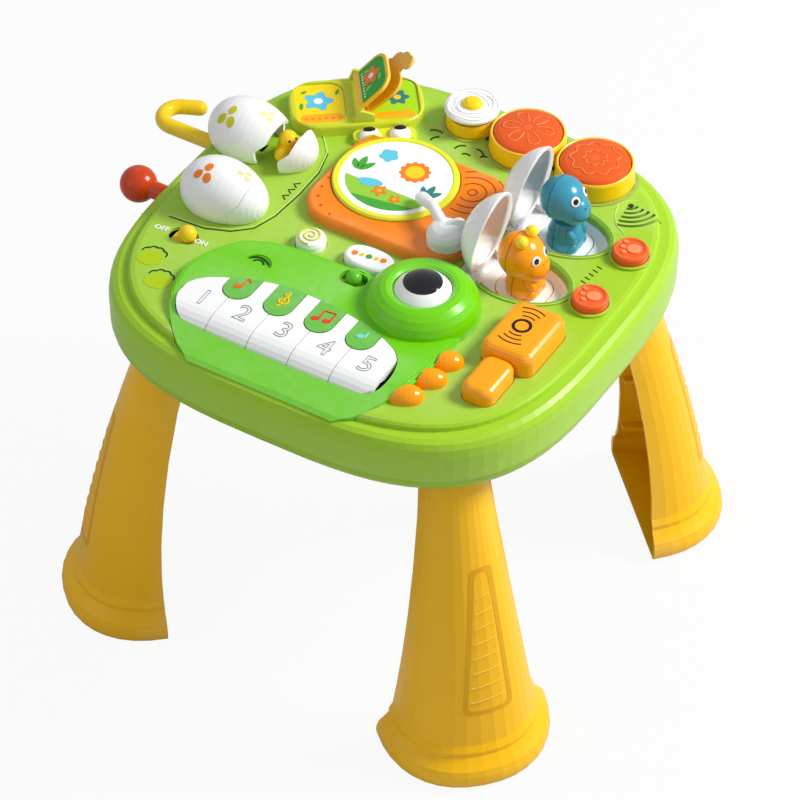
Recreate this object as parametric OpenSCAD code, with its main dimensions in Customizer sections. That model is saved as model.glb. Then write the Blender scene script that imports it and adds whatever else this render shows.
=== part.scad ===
// Musical activity table: a four-legged play table whose deck carries a piano in a
// crocodile's head, a record player, drums, sliding eggs, pop-up dinosaurs and a book.
// Lengths are in millimetres. X runs right, Y runs away from the piano, Z runs up.

/* [Table] */
// Width of the table top, left to right
table_w = 380; // [376:1:384]
// Depth of the table top, piano side to drum side
table_d = 376; // [372:1:380]
// Squareness of the table's outline: 2 is an ellipse, larger is squarer
corner_power = 3.16; // [3.0:0.01:3.3]
// Height of the skirt's lower edge above the floor
skirt_z = 259; // [230:1:290]
// Height of the deck above the skirt's lower edge
body_h = 52; // [52:1:56]
// Wall thickness of the two table shells
shell_wall = 2.6; // [2.4:0.1:3]

/* [Legs] */
// Angle between a leg and the front-to-back line
leg_angle = 46; // [44:0.5:48]
// Distance of a foot's flat inner edge from the legs' centre
foot_inner_r = 195; // [190:1:200]
// Reach of a foot's widest point from the legs' centre
foot_outer_r = 259; // [254:1:262]
// Half the width of a leg at the floor
foot_half_w = 59; // [55:1:62]
// Half the width of a leg under the table
leg_top_half_w = 23.3; // [22:0.1:25]
// Wall thickness of a leg
leg_wall = 3; // [2.6:0.1:3.4]

/* [Piano] */
// Distance between the middles of two white keys
key_pitch = 35; // [34.6:0.1:35]
// Width of a green note key
note_key_w = 22; // [20:0.5:23]
// Air left between a key and its neighbours
key_gap = 0.7; // [0.5:0.05:0.8]
// Radius of the shaft that all the keys turn on
key_shaft_r = 1.5; // [1.3:0.1:1.8]

/* [Croc head] */
// Height of the head above the deck
head_h = 8; // [7.5:0.5:8.5]
// Radius of the eye's hump where it leaves the head
hump_r = 43; // [42:0.5:43.5]
// Radius of the rolling eyeball
eyeball_r = 26; // [25.6:0.1:26.2]

/* [Record player] */
// Radius of the turning record
record_r = 48.3; // [46:0.1:49]
// Height of the record player's orange plate
plate_h = 9; // [8:0.5:9]

/* [Sliding eggs] */
// Radius of a left-hand egg at its widest
egg_r = 26; // [25:0.1:26.5]
// How far an egg's big end slides out
egg_travel = 21; // [18:0.5:21]
// Radius of the hooked handle's rod
hook_r = 6; // [5:0.1:6.3]
// Radius of the round handle's ball
ball_r = 14.5; // [13:0.1:15]

/* [Nests] */
// Length of a nest's egg-shaped opening
nest_l = 76; // [75:0.5:76.5]
// Width of a nest's opening
nest_w = 54; // [53:0.5:55]
// How far the lids stand open
lid_open = 80; // [70:1:84]
// How far a dinosaur is pushed down as its lid closes
dino_drop = 31; // [30.6:0.1:31.4]

/* [Buttons] */
// Travel of the buttons and drums
button_travel = 3; // [2:0.1:3]
// Air round a moving button
button_gap = 0.5; // [0.4:0.05:0.6]
// Radius of a paw button
paw_r = 13.6; // [13:0.1:13.8]

/* [Hidden] */
$fn = 64;

// The origin lies on the floor under the middle of the whole outline, handles included.
table_x = 20;
table_y = 4;

// Levels
deck_z = skirt_z + body_h;
half_w = table_w / 2;
half_d = table_d / 2;
split_z = skirt_z + 11;
floor_z = skirt_z + 3;
outline_steps = 80;
ceiling_z = deck_z - shell_wall;
board_z = deck_z - 21.5;
lip_z = ceiling_z - 2.2;

// Legs
leg_centre = [2, -4];
leg_angles = [leg_angle - 90, -90 - leg_angle, 90 - leg_angle, 90 + leg_angle];
spigot_h = 24;
spigot_inset = 2.5;
leg_steps = 18;
leg_levels = [0, 2, 5, 9, 13, 18, 22, 26, 30, 35, 55, 85, 120, 160, 205, 1000];
// Swelling of the foot's band: height above the floor against added radius
foot_flare = [[0, 3], [2, 5.5], [5, 7.5], [9, 8.8], [13, 9], [18, 8], [22, 4.5],
              [26, 1.6], [30, 2.2], [35, 0]];

// Croc head and keys
key_left = -102.5;
key_top = deck_z + head_h + 0.5;
key_front = -156.3;
key_hinge_y = -84;
key_hinge_z = deck_z - 6;
key_corner = [-94.6, -147];
key_corner_r = 4;
hanger_xs = [-103.4, 88.4];
hanger_slot = [3.8, 11.2];
key_foot_z = deck_z - 4.5;
jaw_y = -156.4;
eye_xy = [56, -54];
eye_z = deck_z + 7;
pupil_r = 14.5;
eye_axle_r = 3;
mode_xy = [-1, -57];
head_shape = [[80, -45], [0, -45.6], [-60, -47], [-92, -57], [-108, -78], [-117, -104],
              [-113, -130], [-100, -152], [-84, -170], [-70, -178], [-60, -187],
              [53, -187], [60, -180], [73, -172], [84, -152], [93, -130], [96, -100],
              [97, -72], [94, -54]];
keybed_shape = [[-84, -157], [58, -157], [74, -151], [78, -131], [71, -111], [52, -101],
                [28, -93.4], [-10, -89], [-45, -90], [-76, -101], [-99, -114], [-105, -131],
                [-98, -149]];
// Where each white key's rear arm passes between the note keys: left and right edge
white_arms = [[-98, -80], [-53, -44], [-18, -9], [17, 26], [52, 70]];
toes = [[98.5, -94], [97.9, -115.8], [92.6, -139.3]];
toe_turn = 31;

// Record player
record_xy = [-32.4, 53.9];
plate_xy = [-15.5, 43];
plate_half = [67.5, 54];
tonearm_xy = [36, 12];
spindle_r = 3;

// Left-hand eggs
egg_centre_x = -132.5;
egg_half_l = 36;
egg_axis_z = deck_z + 11;
front_egg_y = -27;
rear_egg_y = 43;
handle_z = deck_z - 15;
lug_x = -146;
egg_wall = 2.4;
chick_x = -121;
chick_head_r = 7.3;
chick_head_z = deck_z + 18.3;

// Drums
egg_drum_xy = [-23, 151];
citrus_drum_xy = [28, 148];
donut_drum_xy = [89, 143];
drum_stem_r = 6;

// Nests
nest_x = 100;
blue_y = 77;
orange_y = 16;
lid_hinge_x = 67.5;
lid_hinge_z = deck_z + 1.4;
lid_centre = 31;
lid_sunk = 9;
lid_r = 29.5;
lid_half_l = 39;
nest_floor_z = deck_z - 10;
ear_y = 20.8;
dino_x = 101;
dino_base = [21, 18];
plinth_h = 4.4;
paw_x = 156;
paw_lip = 1;

// Buttons
snail_xy = [-53, -33];
oval_xy = [-4, -30.6];
hammer_head = [[137.5, -49.5], [43, 59]];
hammer_grip = [[137, -99], [26, 42]];
power_xy = [-139, -74];

// Book
book_xy = [-107, 118];
book_turn = 36.9;
book_half = [52, 29];
book_h = 10;
page_w = 34;
page_l = 45;
page_t = 2.4;
front_page_at = [2, deck_z + 17];
tab_page_at = [8.5, deck_z + 14];
front_page_rest = 46;
tab_page_rest = 40;

screw_spots = [[-100, -170], [96, -168], [172, -58], [172, 47], [60, 173], [-60, 172],
               [-174, 8]];
battery_xy = [0, 22];

// ---------- shapes that repeat ----------

function signed_pow(v, p) = sign(v) * pow(abs(v), p);

function superellipse(a, b, power, steps) =
  [for (i = [0:steps - 1]) let (t = 360 * i / steps)
    [a * signed_pow(cos(t), 2 / power), b * signed_pow(sin(t), 2 / power)]];

function table_outline(inset) =
  superellipse(half_w - inset, half_d - inset, corner_power, outline_steps);

// An egg with its narrow end towards +X
function egg_outline(a, b, point, steps) =
  [for (i = [0:steps - 1]) let (t = 360 * i / steps)
    [a * cos(t), b * sin(t) * (1 - point * cos(t))]];

function rounded_rect(w, d, r, steps) =
  [for (q = [0:3], i = [0:steps])
    let (t = 90 * q + 90 * i / steps, sx = (q == 0 || q == 3) ? 1 : -1, sy = q < 2 ? 1 : -1)
    [sx * (w / 2 - r) + r * cos(t), sy * (d / 2 - r) + r * sin(t)]];

// The outline moved outwards by d along its own normals
function grown(outline, d) =
  let (n = len(outline))
  [for (i = [0:n - 1])
    let (a = outline[(i + n - 1) % n], b = outline[(i + 1) % n], t = (b - a) / norm(b - a))
    outline[i] + d * [t.y, -t.x]];

// Corner cutting: every pass turns each corner into two softer ones
function softened(outline, passes) =
  passes == 0 ? outline :
  let (n = len(outline))
  softened([for (i = [0:n - 1], w = [0.25, 0.75])
    outline[i] * (1 - w) + outline[(i + 1) % n] * w], passes - 1);

function moved(outline, by) = [for (p = outline) p + by];

function ring(outline, z) = [for (p = outline) [p.x, p.y, z]];

// A closed skin through a stack of rings that all have the same number of points
module loft(rings) {
  n = len(rings[0]);
  m = len(rings);
  polyhedron(
    points = [for (r = rings) each r],
    faces = concat(
      [[for (i = [0:n - 1]) i]],
      [[for (i = [n - 1:-1:0]) (m - 1) * n + i]],
      [for (j = [0:m - 2], i = [0:n - 1])
        [j * n + i, (j + 1) * n + i, (j + 1) * n + (i + 1) % n]],
      [for (j = [0:m - 2], i = [0:n - 1])
        [j * n + i, (j + 1) * n + (i + 1) % n, j * n + (i + 1) % n]]));
}

// A block with the given outline and a rounded upper edge
module pebble(outline, z, h, edge, steps = 3) {
  loft(concat(
    [ring(outline, z)],
    [for (i = [0:steps]) let (t = 90 * i / steps)
      ring(grown(outline, -edge * (1 - cos(t))), z + h - edge + edge * sin(t))]));
}

// A solid of revolution about X with an oval profile, its blunt end towards -X
module ovoid_x(half_l, r, point = 0, steps = 18) {
  rotate([0, 90, 0])
    rotate_extrude()
      polygon([for (i = [0:steps]) let (t = 180 * i / steps)
        [max(0, r * sin(t) * (1 + point * cos(t))), -half_l * cos(t)]]);
}

module prism(outline, z, h) {
  translate([0, 0, z]) linear_extrude(h) polygon(outline);
}

// A round post, or a bore, standing at a plan position
module post(xy, z, h, r) {
  translate([xy.x, xy.y, z]) cylinder(h = h, r = r);
}

module rod_x(x, y, z, length, r) {
  translate([x, y, z]) rotate([0, 90, 0]) cylinder(h = length, r = r);
}

module on_table() {
  translate([table_x, table_y, 0]) children();
}

// ---------- table shells ----------

module top_shell_outside() {
  loft([for (s = [[split_z, 0], [deck_z - 19, -0.2], [deck_z - 12, 0.8], [deck_z - 8, 3],
                  [deck_z - 6, 6.5], [deck_z - 5.7, 12.6], [deck_z - 2.4, 13.2],
                  [deck_z - 0.7, 14.8], [deck_z, 18]])
    ring(table_outline(s[1]), s[0])]);
}

module top_shell_inside() {
  prism(table_outline(shell_wall), split_z - 1, 27);
  prism(table_outline(9.4), split_z + 25, ceiling_z - 5.8 - split_z - 25);
  prism(table_outline(17), ceiling_z - 6, 6);
  for (y = [orange_y, blue_y])
    post([paw_x, y], ceiling_z - 6, 6, paw_r + paw_lip + 0.4);
}

function nest_outline(grow) =
  grown(moved(egg_outline(nest_l / 2, nest_w / 2, 0.1, 40), [nest_x, 0]), grow);

// The recess that a lid's end dips into as it opens, with a wing for each hinge ear
module hinge_notch(grow) {
  translate([lid_hinge_x - 10.6 - grow, -17.9 - grow]) square([14 + grow, 35.8 + 2 * grow]);
  translate([lid_hinge_x - 2.4 - grow, -ear_y - 1 - grow])
    square([4.8 + 2 * grow, 2 * (ear_y + 1 + grow)]);
}

module hammer_outline(grow) {
  for (b = [hammer_head, hammer_grip])
    translate(b[0])
      polygon(rounded_rect(b[1].x + 2 * grow, b[1].y + 2 * grow, 9 + grow, 6));
}

module grille_slots() {
  translate([126, 131])
    intersection() {
      polygon([[0, 0], [60, -4], [60, -60], [6, -60]]);
      for (r = [7:5:27])
        difference() {
          circle(r + 1.3);
          circle(r - 1.3);
        }
    }
}

module deck_openings() {
  through = shell_wall + 8;
  low = ceiling_z - 4;
  translate([0, 0, low])
    linear_extrude(through) {
      intersection() {
        polygon(grown(softened(head_shape, 2), -5));
        translate([-120, -166]) square([240, 102]);
      }
      translate(key_corner) circle(key_corner_r);
      for (x = hanger_xs)
        translate([x, key_hinge_y] - hanger_slot / 2) square(hanger_slot);
      translate(eye_xy) circle(27.4);
      translate(mode_xy) circle(9);
      translate(power_xy) polygon(rounded_rect(24, 16, 7.9, 6));
      translate(snail_xy) circle(11.5 + button_gap);
      translate(oval_xy) polygon(superellipse(20 + button_gap, 12 + button_gap, 2.4, 40));
      translate(record_xy) circle(6);
      translate(tonearm_xy) circle(6);
      for (xy = [egg_drum_xy, citrus_drum_xy, donut_drum_xy])
        translate(xy) circle(drum_stem_r + 3);
      for (y = [orange_y, blue_y]) {
        translate([0, y]) {
          polygon(nest_outline(0.6));
          hinge_notch(2.4);
        }
        translate([paw_x, y]) circle(paw_r + button_gap);
      }
      hammer_outline(button_gap);
      grille_slots();
      for (y = [front_egg_y, rear_egg_y])
        translate([lug_x - egg_travel / 2, y])
          square([egg_travel + 8, 9], center = true);
    }
}

// The dip at the front of the deck that the crocodile's jaw drops into
module jaw_recess() {
  translate([0, 0, deck_z - 6])
    linear_extrude(10)
      intersection() {
        polygon(grown(softened(head_shape, 2), 0.4));
        translate([-120, -220]) square([240, 220 + jaw_y]);
      }
}

module top_shell() color("yellowgreen") on_table() {
  difference() {
    union() {
      top_shell_outside();
      for (y = [orange_y, blue_y])
        post([paw_x, y], deck_z - 1, 3, paw_r + 2.6);
    }
    top_shell_inside();
    deck_openings();
    jaw_recess();
    for (s = [[front_egg_y, 7], [rear_egg_y, hook_r]])
      rod_x(-half_w - 5, s[0], handle_z, 40, s[1] + 0.5);
  }
  for (s = screw_spots)
    difference() {
      post(s, split_z + 10, body_h - 28.4, 4);
      post(s, split_z + 9, 22, 1.3);
    }
}

module bottom_shell() color("olivedrab") on_table() {
  difference() {
    union() {
      difference() {
        loft([ring(table_outline(7), skirt_z), ring(table_outline(3), skirt_z + 1.6),
              ring(table_outline(1.3), skirt_z + 5), ring(table_outline(0.4), split_z)]);
        prism(table_outline(3.6), floor_z, 20);
      }
      difference() {
        prism(table_outline(shell_wall + 0.4), floor_z + 4, 10.5);
        prism(table_outline(5.4), floor_z, 20);
      }
      for (a = leg_angles)
        leg_turn(a) prism(leg_section(spigot_inset - 3.2), floor_z - 1, 27);
      for (s = screw_spots)
        post(s, floor_z - 1, split_z + 10 - floor_z + 1, 4.6);
      translate([battery_xy.x, battery_xy.y, floor_z - 1])
        linear_extrude(21) polygon(rounded_rect(112, 70, 4, 3));
      for (x = [-92, 57], y = [-146, -79])
        post([x, y], floor_z - 1, board_z - floor_z + 1, 3);
    }
    for (a = leg_angles)
      leg_turn(a) prism(leg_section(spigot_inset - 0.3), skirt_z - 1, 28.5);
    for (s = screw_spots) {
      post(s, skirt_z - 1, 40, 1.8);
      post(s, skirt_z - 1, 11, 3.7);
    }
    translate([battery_xy.x, battery_xy.y, skirt_z - 1])
      linear_extrude(20.5) polygon(rounded_rect(107.6, 65.6, 3, 3));
  }
}

module battery_door() color("olivedrab") on_table()
  translate([battery_xy.x, battery_xy.y, 0])
    difference() {
      union() {
        prism(rounded_rect(107, 65, 3, 3), skirt_z, 2.4);
        for (y = [-22:11:22])
          translate([-51, y - 1, skirt_z + 2]) cube([102, 2, 1.6]);
      }
      post([0, 27], skirt_z - 1, 6, 1.8);
      post([0, 27], skirt_z - 1, 2, 3.2);
    }

module batteries() color("silver") on_table()
  for (y = [-17.6, 0, 17.6])
    rod_pair(battery_xy.x - 25.2, battery_xy.y + y, skirt_z + 12.4);

// One AA cell with its raised positive cap
module rod_pair(x, y, z) {
  rod_x(x, y, z, 49.3, 7.1);
  rod_x(x + 49, y, z, 1.5, 2.7);
}

module circuit_board() color("darkgreen") on_table() {
  difference() {
    translate([-96, -150, board_z]) cube([157, 75, 1.6]);
    for (x = [-92, 57], y = [-146, -79])
      post([x, y], board_z - 1, 4, 1.2);
  }
  for (i = [0:4])
    rubber_dome([key_left + key_pitch * (i + 0.5), -138]);
  for (i = [1:4])
    rubber_dome([key_left + key_pitch * i + 1, -108]);
}

module rubber_dome(xy) {
  post(xy, board_z + 1.5, 6.5, 4);
  post(xy, board_z + 7, 3, 2.6);
}

module speaker() color("dimgray") on_table()
  translate([127, 120, deck_z - 18.5])
    rotate_extrude()
      polygon([[0, 0], [8.5, 0], [8.5, 7], [11, 7], [16, 13], [18.4, 13], [18.4, 15.5],
               [15, 15.5], [9, 9.5], [5, 9], [4, 11], [0, 11.6]]);

module case_screws() color("silver") on_table()
  for (s = screw_spots) {
    post(s, split_z - 3.2, 2.2, 3.4);
    post(s, split_z - 1.2, 26, 1.25);
  }

// ---------- legs ----------

// Half width, inner radius and outer radius of the leg's D-shaped section by height
function leg_t(z) = max(0, (min(z, skirt_z) - 50) / (skirt_z - 50));
function leg_inner_r(z) = foot_inner_r - 37 * pow(leg_t(z), 1.7);
function leg_outer_r(z) = let (h = min(z, skirt_z))
  foot_outer_r - 67 * (0.615 * h / skirt_z + 0.385 * pow(h / skirt_z, 2));
function leg_half_w(z) = leg_top_half_w
  + (foot_half_w - leg_top_half_w) * pow(1 - min(z, skirt_z) / skirt_z, 1.2);

function d_section(ri, ro, hw) =
  [for (i = [0:leg_steps]) let (t = 180 * i / leg_steps - 90)
    [ri + (ro - ri) * signed_pow(cos(t), 0.9), hw * signed_pow(sin(t), 0.9)]];

// The section at the top of a leg, moved inwards by inset
function leg_section(inset) =
  d_section(leg_inner_r(skirt_z) + inset, leg_outer_r(skirt_z) - inset,
            leg_half_w(skirt_z) - inset);

module leg_turn(angle) {
  translate([leg_centre.x, leg_centre.y, 0]) rotate([0, 0, angle]) children();
}

function leg_outer_ring(z) = let (f = z > 35 ? 0 : lookup(z, foot_flare))
  ring(d_section(leg_inner_r(z), leg_outer_r(z) + f, leg_half_w(z) + f), z);

function leg_inner_ring(z) = let (f = z > 35 ? 0 : lookup(z, foot_flare))
  ring(d_section(leg_inner_r(z) - 8, leg_outer_r(z) + f - leg_wall,
                 leg_half_w(z) + f - leg_wall), z);

module leg(angle) color("gold") on_table() leg_turn(angle) {
  difference() {
    loft([for (z = leg_levels) leg_outer_ring(min(z, skirt_z))]);
    loft([for (z = [leg_wall, 18, 34, 60, 100, 150, 200, skirt_z - 9]) leg_inner_ring(z)]);
  }
  for (z = [44, 104, 158, 206])
    difference() {
      prism(d_section(leg_inner_r(z) + 2, leg_outer_r(z) - 1.5, leg_half_w(z) - 1.5), z, 2.4);
      prism(d_section(leg_inner_r(z) - 9, leg_outer_r(z) - 11, leg_half_w(z) - 9), z - 1, 5);
    }
  prism(leg_section(spigot_inset), skirt_z - 4, spigot_h + 4);
}

module front_right_leg() leg(leg_angles[0]);
module front_left_leg() leg(leg_angles[1]);
module back_right_leg() leg(leg_angles[2]);
module back_left_leg() leg(leg_angles[3]);

// ---------- crocodile head ----------

function head_outline(inset) = grown(softened(head_shape, 2), -inset);

// Everything above a plane that climbs away from the front edge at the given slope
module above_slope(y, z, slope) {
  translate([-150, y, z]) rotate([slope, 0, 0]) translate([0, -100, 0]) cube([300, 260, 60]);
}

// The head's outside: a stack of slightly smaller slices, planed down towards the jaw
module head_skin() {
  difference() {
    for (s = [[0, head_h - 3], [1, head_h - 1.5], [2.6, head_h - 0.5], [4.6, head_h]])
      prism(head_outline(s[0]), deck_z - 6.2, 6.2 + s[1]);
    above_slope(-184, deck_z - 6.6, 29);
    above_slope(-160, deck_z + 1.1, 14);
    above_slope(-134, deck_z + 7.1, 7);
  }
}

module head_hollow() {
  intersection() {
    prism(head_outline(3.4), deck_z - 12, 12 + head_h - 3.8);
    translate([-150, -134, deck_z - 20]) cube([300, 120, 40]);
  }
}

// The deck and its stepped front edge that the head sits on, with a hair's clearance
module head_seat() {
  difference() {
    prism(table_outline(12.4), deck_z - 12, 12.08);
    translate([-130, -220, deck_z - 20]) cube([260, 219.8 + jaw_y, 40]);
  }
  prism(table_outline(-5), deck_z - 20, 14.4);
}

// The eye's hump: a hollow ring whose inner wall holds the ball
module hump() {
  h = hump_r - 43;
  translate([eye_xy.x, eye_xy.y, deck_z])
    rotate([0, 0, 50]) rotate_extrude()
      polygon([[43 + h, 0.1], [43 + h, 6], [42 + h, 11], [39.8 + h, 16], [36, 20.5],
               [31, 23.6], [27, 24.8], [23.6, 24.2], [21.8, 22.4], [24.9, 17], [26.3, 11],
               [eyeball_r + 0.7, 4], [27, 0.1], [29.4, 0.1], [29, 9], [27.8, 16], [26, 20],
               [30, 21], [34.5, 18.2], [37.6, 14.4], [39.6, 9.5], [40.4, 5], [40.4, 0.1]]);
}

module eye_bearing(side) {
  translate([eye_xy.x + side * 27.9 - 1.4, eye_xy.y - 6, deck_z + 0.1]) cube([2.8, 12, 15]);
}

// A hanger under the head cover that holds one end of the key shaft
module shaft_hanger(x) {
  difference() {
    translate([x - 1.5, key_hinge_y - 5, key_hinge_z - 4])
      cube([3, 10, deck_z + head_h - 2 - key_hinge_z + 4]);
    rod_x(x - 3, key_hinge_y, key_hinge_z, 6, key_shaft_r);
  }
}

module head_cover() color("limegreen") on_table() {
  difference() {
    union() {
      difference() {
        head_skin();
        head_hollow();
        post(eye_xy, deck_z - 9, 30, hump_r - 1.3);
      }
      hump();
      eye_bearing(-1);
      eye_bearing(1);
      translate([0, 0, deck_z + 1]) linear_extrude(head_h - 3.4)
        difference() {
          translate(mode_xy) circle(14);
          translate(mode_xy) circle(12);
        }
    }
    head_seat();
    translate([0, 0, deck_z - 12]) linear_extrude(40) polygon(softened(keybed_shape, 2));
    translate([mode_xy.x, mode_xy.y, deck_z - 12])
      linear_extrude(40) polygon(rounded_rect(22, 15, 7.4, 6));
    rod_x(eye_xy.x - 31, eye_xy.y, eye_z, 62, eye_axle_r + 0.06);
    closed_eye();
  }
  for (x = hanger_xs)
    shaft_hanger(x);
}

// Two engraved arcs: the crocodile's winking eye
module closed_eye() {
  translate([-70, -80, deck_z + head_h - 1])
    linear_extrude(3)
      intersection() {
        translate([-14, 1]) square([28, 14]);
        for (r = [4.5, 9.7])
          difference() {
            circle(r + 1);
            circle(r - 1);
          }
      }
}

module toe_claws() color("orange") on_table()
  difference() {
    for (t = toes)
      translate([t.x, t.y, deck_z + 0.3]) rotate([0, 0, toe_turn]) ovoid_x(14.2, 9.4, -0.12, 12);
    prism(table_outline(-9), deck_z - 30, 30);
    prism(grown(softened(head_shape, 2), 0.1), deck_z - 1, 30);
  }

module eyeball() color("white") on_table() {
  difference() {
    translate([eye_xy.x, eye_xy.y, eye_z]) sphere(r = eyeball_r);
    post(eye_xy, eye_z + 18, 20, pupil_r);
  }
  for (side = [-1, 1])
    rod_x(eye_xy.x + side * 26.5 - 3.5, eye_xy.y, eye_z, 7, eye_axle_r);
}

module pupil() color("black") on_table()
  intersection() {
    translate([eye_xy.x, eye_xy.y, eye_z]) sphere(r = eyeball_r + 0.15);
    post(eye_xy, eye_z + 18, 20, pupil_r);
  }

module mode_knob() color("forestgreen") on_table()
  translate([mode_xy.x, mode_xy.y, deck_z]) {
    translate([0, 0, 8.2]) sphere(r = 6);
    translate([0, 0, -6]) cylinder(h = 12, r = 3);
    translate([0, 0, 0.4]) cylinder(h = 2, r = 7.5);
  }

// ---------- keys ----------

// Side profile of a key, drawn in Y and Z: a flat top that rolls down at the front
function key_profile(top) =
  concat(
    [[-84, top], [-138, top]],
    [for (t = [15:15:90])
      [-138 + (key_front + 138) * sin(t), key_foot_z + (top - key_foot_z) * cos(t)]],
    [[key_front + 2.6, key_foot_z]],
    [for (t = [75:-25:0])
      [-139 + (key_front + 141) * sin(t), key_foot_z + (top - key_foot_z - 4) * cos(t)]],
    [[-134, deck_z + 2.6], [-84, deck_z + 2.6]]);

module key_block(top) {
  translate([120, 0, 0]) rotate([0, -90, 0])
    linear_extrude(240) polygon([for (p = key_profile(top)) [p.y, p.x]]);
}

// A green note key seen from above: a tab with a round front end
module note_outline(i, grow) {
  x = key_left + key_pitch * i + 1;
  r = note_key_w / 2 + grow;
  translate([x, -119 + note_key_w / 2 - 3]) {
    circle(r);
    translate([-r, 0]) square([2 * r, 40]);
  }
}

// The arm that passes under the head cover and ends in a hub on the key shaft
module key_arm(x0, x1) {
  width = x1 - x0;
  difference() {
    union() {
      translate([x0, -118, key_hinge_z - 1.5]) cube([width, 118 + key_hinge_y, 7]);
      translate([x0, -118, key_hinge_z - 1.5]) cube([width, 6, 11.3]);
      rod_x(x0, key_hinge_y, key_hinge_z, width, 4);
    }
    rod_x(x0 - 1, key_hinge_y, key_hinge_z, width + 2, key_shaft_r + 0.05);
  }
}

// The peg under a key that presses its rubber dome
module key_peg(x, y) {
  translate([x - 3, y - 2, deck_z - 8.2]) cube([6, 4, 12]);
}

module white_key(i) color("white") on_table() {
  x0 = key_left + key_pitch * i;
  intersection() {
    key_block(key_top);
    translate([0, 0, deck_z - 12]) linear_extrude(40)
      difference() {
        intersection() {
          polygon(grown(softened(keybed_shape, 2), -key_gap));
          translate([x0 + key_gap / 2, -200]) square([key_pitch - key_gap, 200]);
        }
        for (k = [max(1, i):min(4, i + 1)])
          note_outline(k, key_gap);
      }
  }
  key_arm(white_arms[i][0], white_arms[i][1]);
  key_peg(x0 + key_pitch / 2, -138);
}

module note_key(i) color("limegreen") on_table() {
  x = key_left + key_pitch * i + 1;
  intersection() {
    key_block(key_top + 0.6);
    translate([0, 0, deck_z - 12]) linear_extrude(40)
      intersection() {
        polygon(grown(softened(keybed_shape, 2), -key_gap));
        note_outline(i, 0);
      }
  }
  key_arm(x - 9, x + 9);
  key_peg(x, -108);
}

module key_1() white_key(0);
module key_2() white_key(1);
module key_3() white_key(2);
module key_4() white_key(3);
module key_5() white_key(4);
module note_key_1() note_key(1);
module note_key_2() note_key(2);
module note_key_3() note_key(3);
module note_key_4() note_key(4);

module key_shaft() color("silver") on_table()
  rod_x(-106, key_hinge_y, key_hinge_z, 197, key_shaft_r);

// ---------- record player ----------

module record_plate() color("darkorange") on_table()
  difference() {
    translate([plate_xy.x, plate_xy.y, 0])
      pebble(rounded_rect(2 * plate_half.x, 2 * plate_half.y, 27, 8), deck_z, plate_h, 3.5);
    post(record_xy, deck_z + plate_h - 3, 5, record_r + 1);
    post(record_xy, deck_z - 1, 20, spindle_r + 0.06);
    post(tonearm_xy, deck_z - 1, 20, 4.06);
  }

module record_disc() color("yellow") on_table()
  translate([record_xy.x, record_xy.y, deck_z + plate_h - 3]) {
    rotate_extrude()
      polygon([[0, 0.5], [record_r, 0.5], [record_r, 4], [record_r - 1.2, 5.4],
               [record_r - 4.4, 5.4], [record_r - 5.2, 4.6], [0, 4.6]]);
    translate([0, 0, -7.6]) cylinder(h = 9, r = spindle_r);
  }

module tonearm() color("white") on_table()
  translate([tonearm_xy.x, tonearm_xy.y, deck_z + plate_h]) {
    rotate_extrude()
      polygon([[0, 0.3], [14.5, 0.3], [14.5, 8], [13, 12], [10, 15], [5, 17], [0, 17.6]]);
    translate([0, 0, -9.6]) cylinder(h = 11, r = 4);
    rotate([0, 0, 144]) {
      hull() {
        translate([0, 0, 12]) sphere(r = 5, $fn = 20);
        translate([24, 0, 15]) sphere(r = 4, $fn = 20);
      }
      hull() {
        translate([24, 0, 15]) sphere(r = 4, $fn = 20);
        translate([42, 0, 9]) scale([1.6, 1.2, 0.5]) sphere(r = 5, $fn = 20);
      }
    }
    rotate([0, 0, 40]) hull() {
      translate([-2, 0, 8]) rotate([90, 0, 0]) cylinder(h = 3.6, r = 8, center = true, $fn = 32);
      translate([9, 0, 15]) rotate([90, 0, 0]) cylinder(h = 3, r = 6, center = true, $fn = 32);
    }
  }

// ---------- deck buttons ----------

// The part of a button below its face: a wall through the deck with a keeper lip
module button_skirt(r, lip = 2) {
  post([0, 0], lip_z, deck_z - lip_z + 1, r);
  post([0, 0], lip_z, 2, r + lip);
}

module snail_button() color("white") on_table()
  translate([snail_xy.x, snail_xy.y, 0]) {
    rotate_extrude()
      polygon([[0, deck_z - 1], [11.5, deck_z - 1], [11.5, deck_z + 5], [10.4, deck_z + 7.4],
               [8, deck_z + 8.6], [0, deck_z + 9]]);
    button_skirt(11.5);
  }

module oval_button() color("white") on_table()
  translate([oval_xy.x, oval_xy.y, 0]) {
    pebble(superellipse(20, 12, 2.4, 40), lip_z + 1, 11.8, 3);
    prism(superellipse(22, 14, 2.4, 40), lip_z, 2);
  }

module hammer_button() color("orange") on_table() {
  for (b = [[hammer_head, 18, 7], [hammer_grip, 13, 6]])
    translate([b[0][0].x, b[0][0].y, 0])
      pebble(rounded_rect(b[0][1].x, b[0][1].y, 9, 6), lip_z + 1, b[1] + 3.8, b[2], 4);
  translate([0, 0, lip_z]) linear_extrude(2) hammer_outline(2);
}

module power_knob() color("gold") on_table()
  translate([power_xy.x + 3.5, power_xy.y, deck_z]) {
    translate([0, 0, 3.2]) sphere(r = 7);
    translate([0, 0, -6]) cylinder(h = 6, r = 4.4);
    translate([-13, -10, -6]) cube([26, 20, 2]);
  }

module paw_button(y) color("orangered") on_table()
  translate([paw_x, y, 0]) {
    rotate_extrude()
      polygon([[0, deck_z - 1], [paw_r, deck_z - 1], [paw_r, deck_z + 7], [paw_r - 1.2, deck_z + 8.4],
               [paw_r - 2.6, deck_z + 8.4], [paw_r - 3.4, deck_z + 7.6], [0, deck_z + 7.6]]);
    button_skirt(paw_r, paw_lip);
  }

module near_paw_button() paw_button(orange_y);
module far_paw_button() paw_button(blue_y);

// ---------- drums ----------

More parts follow.
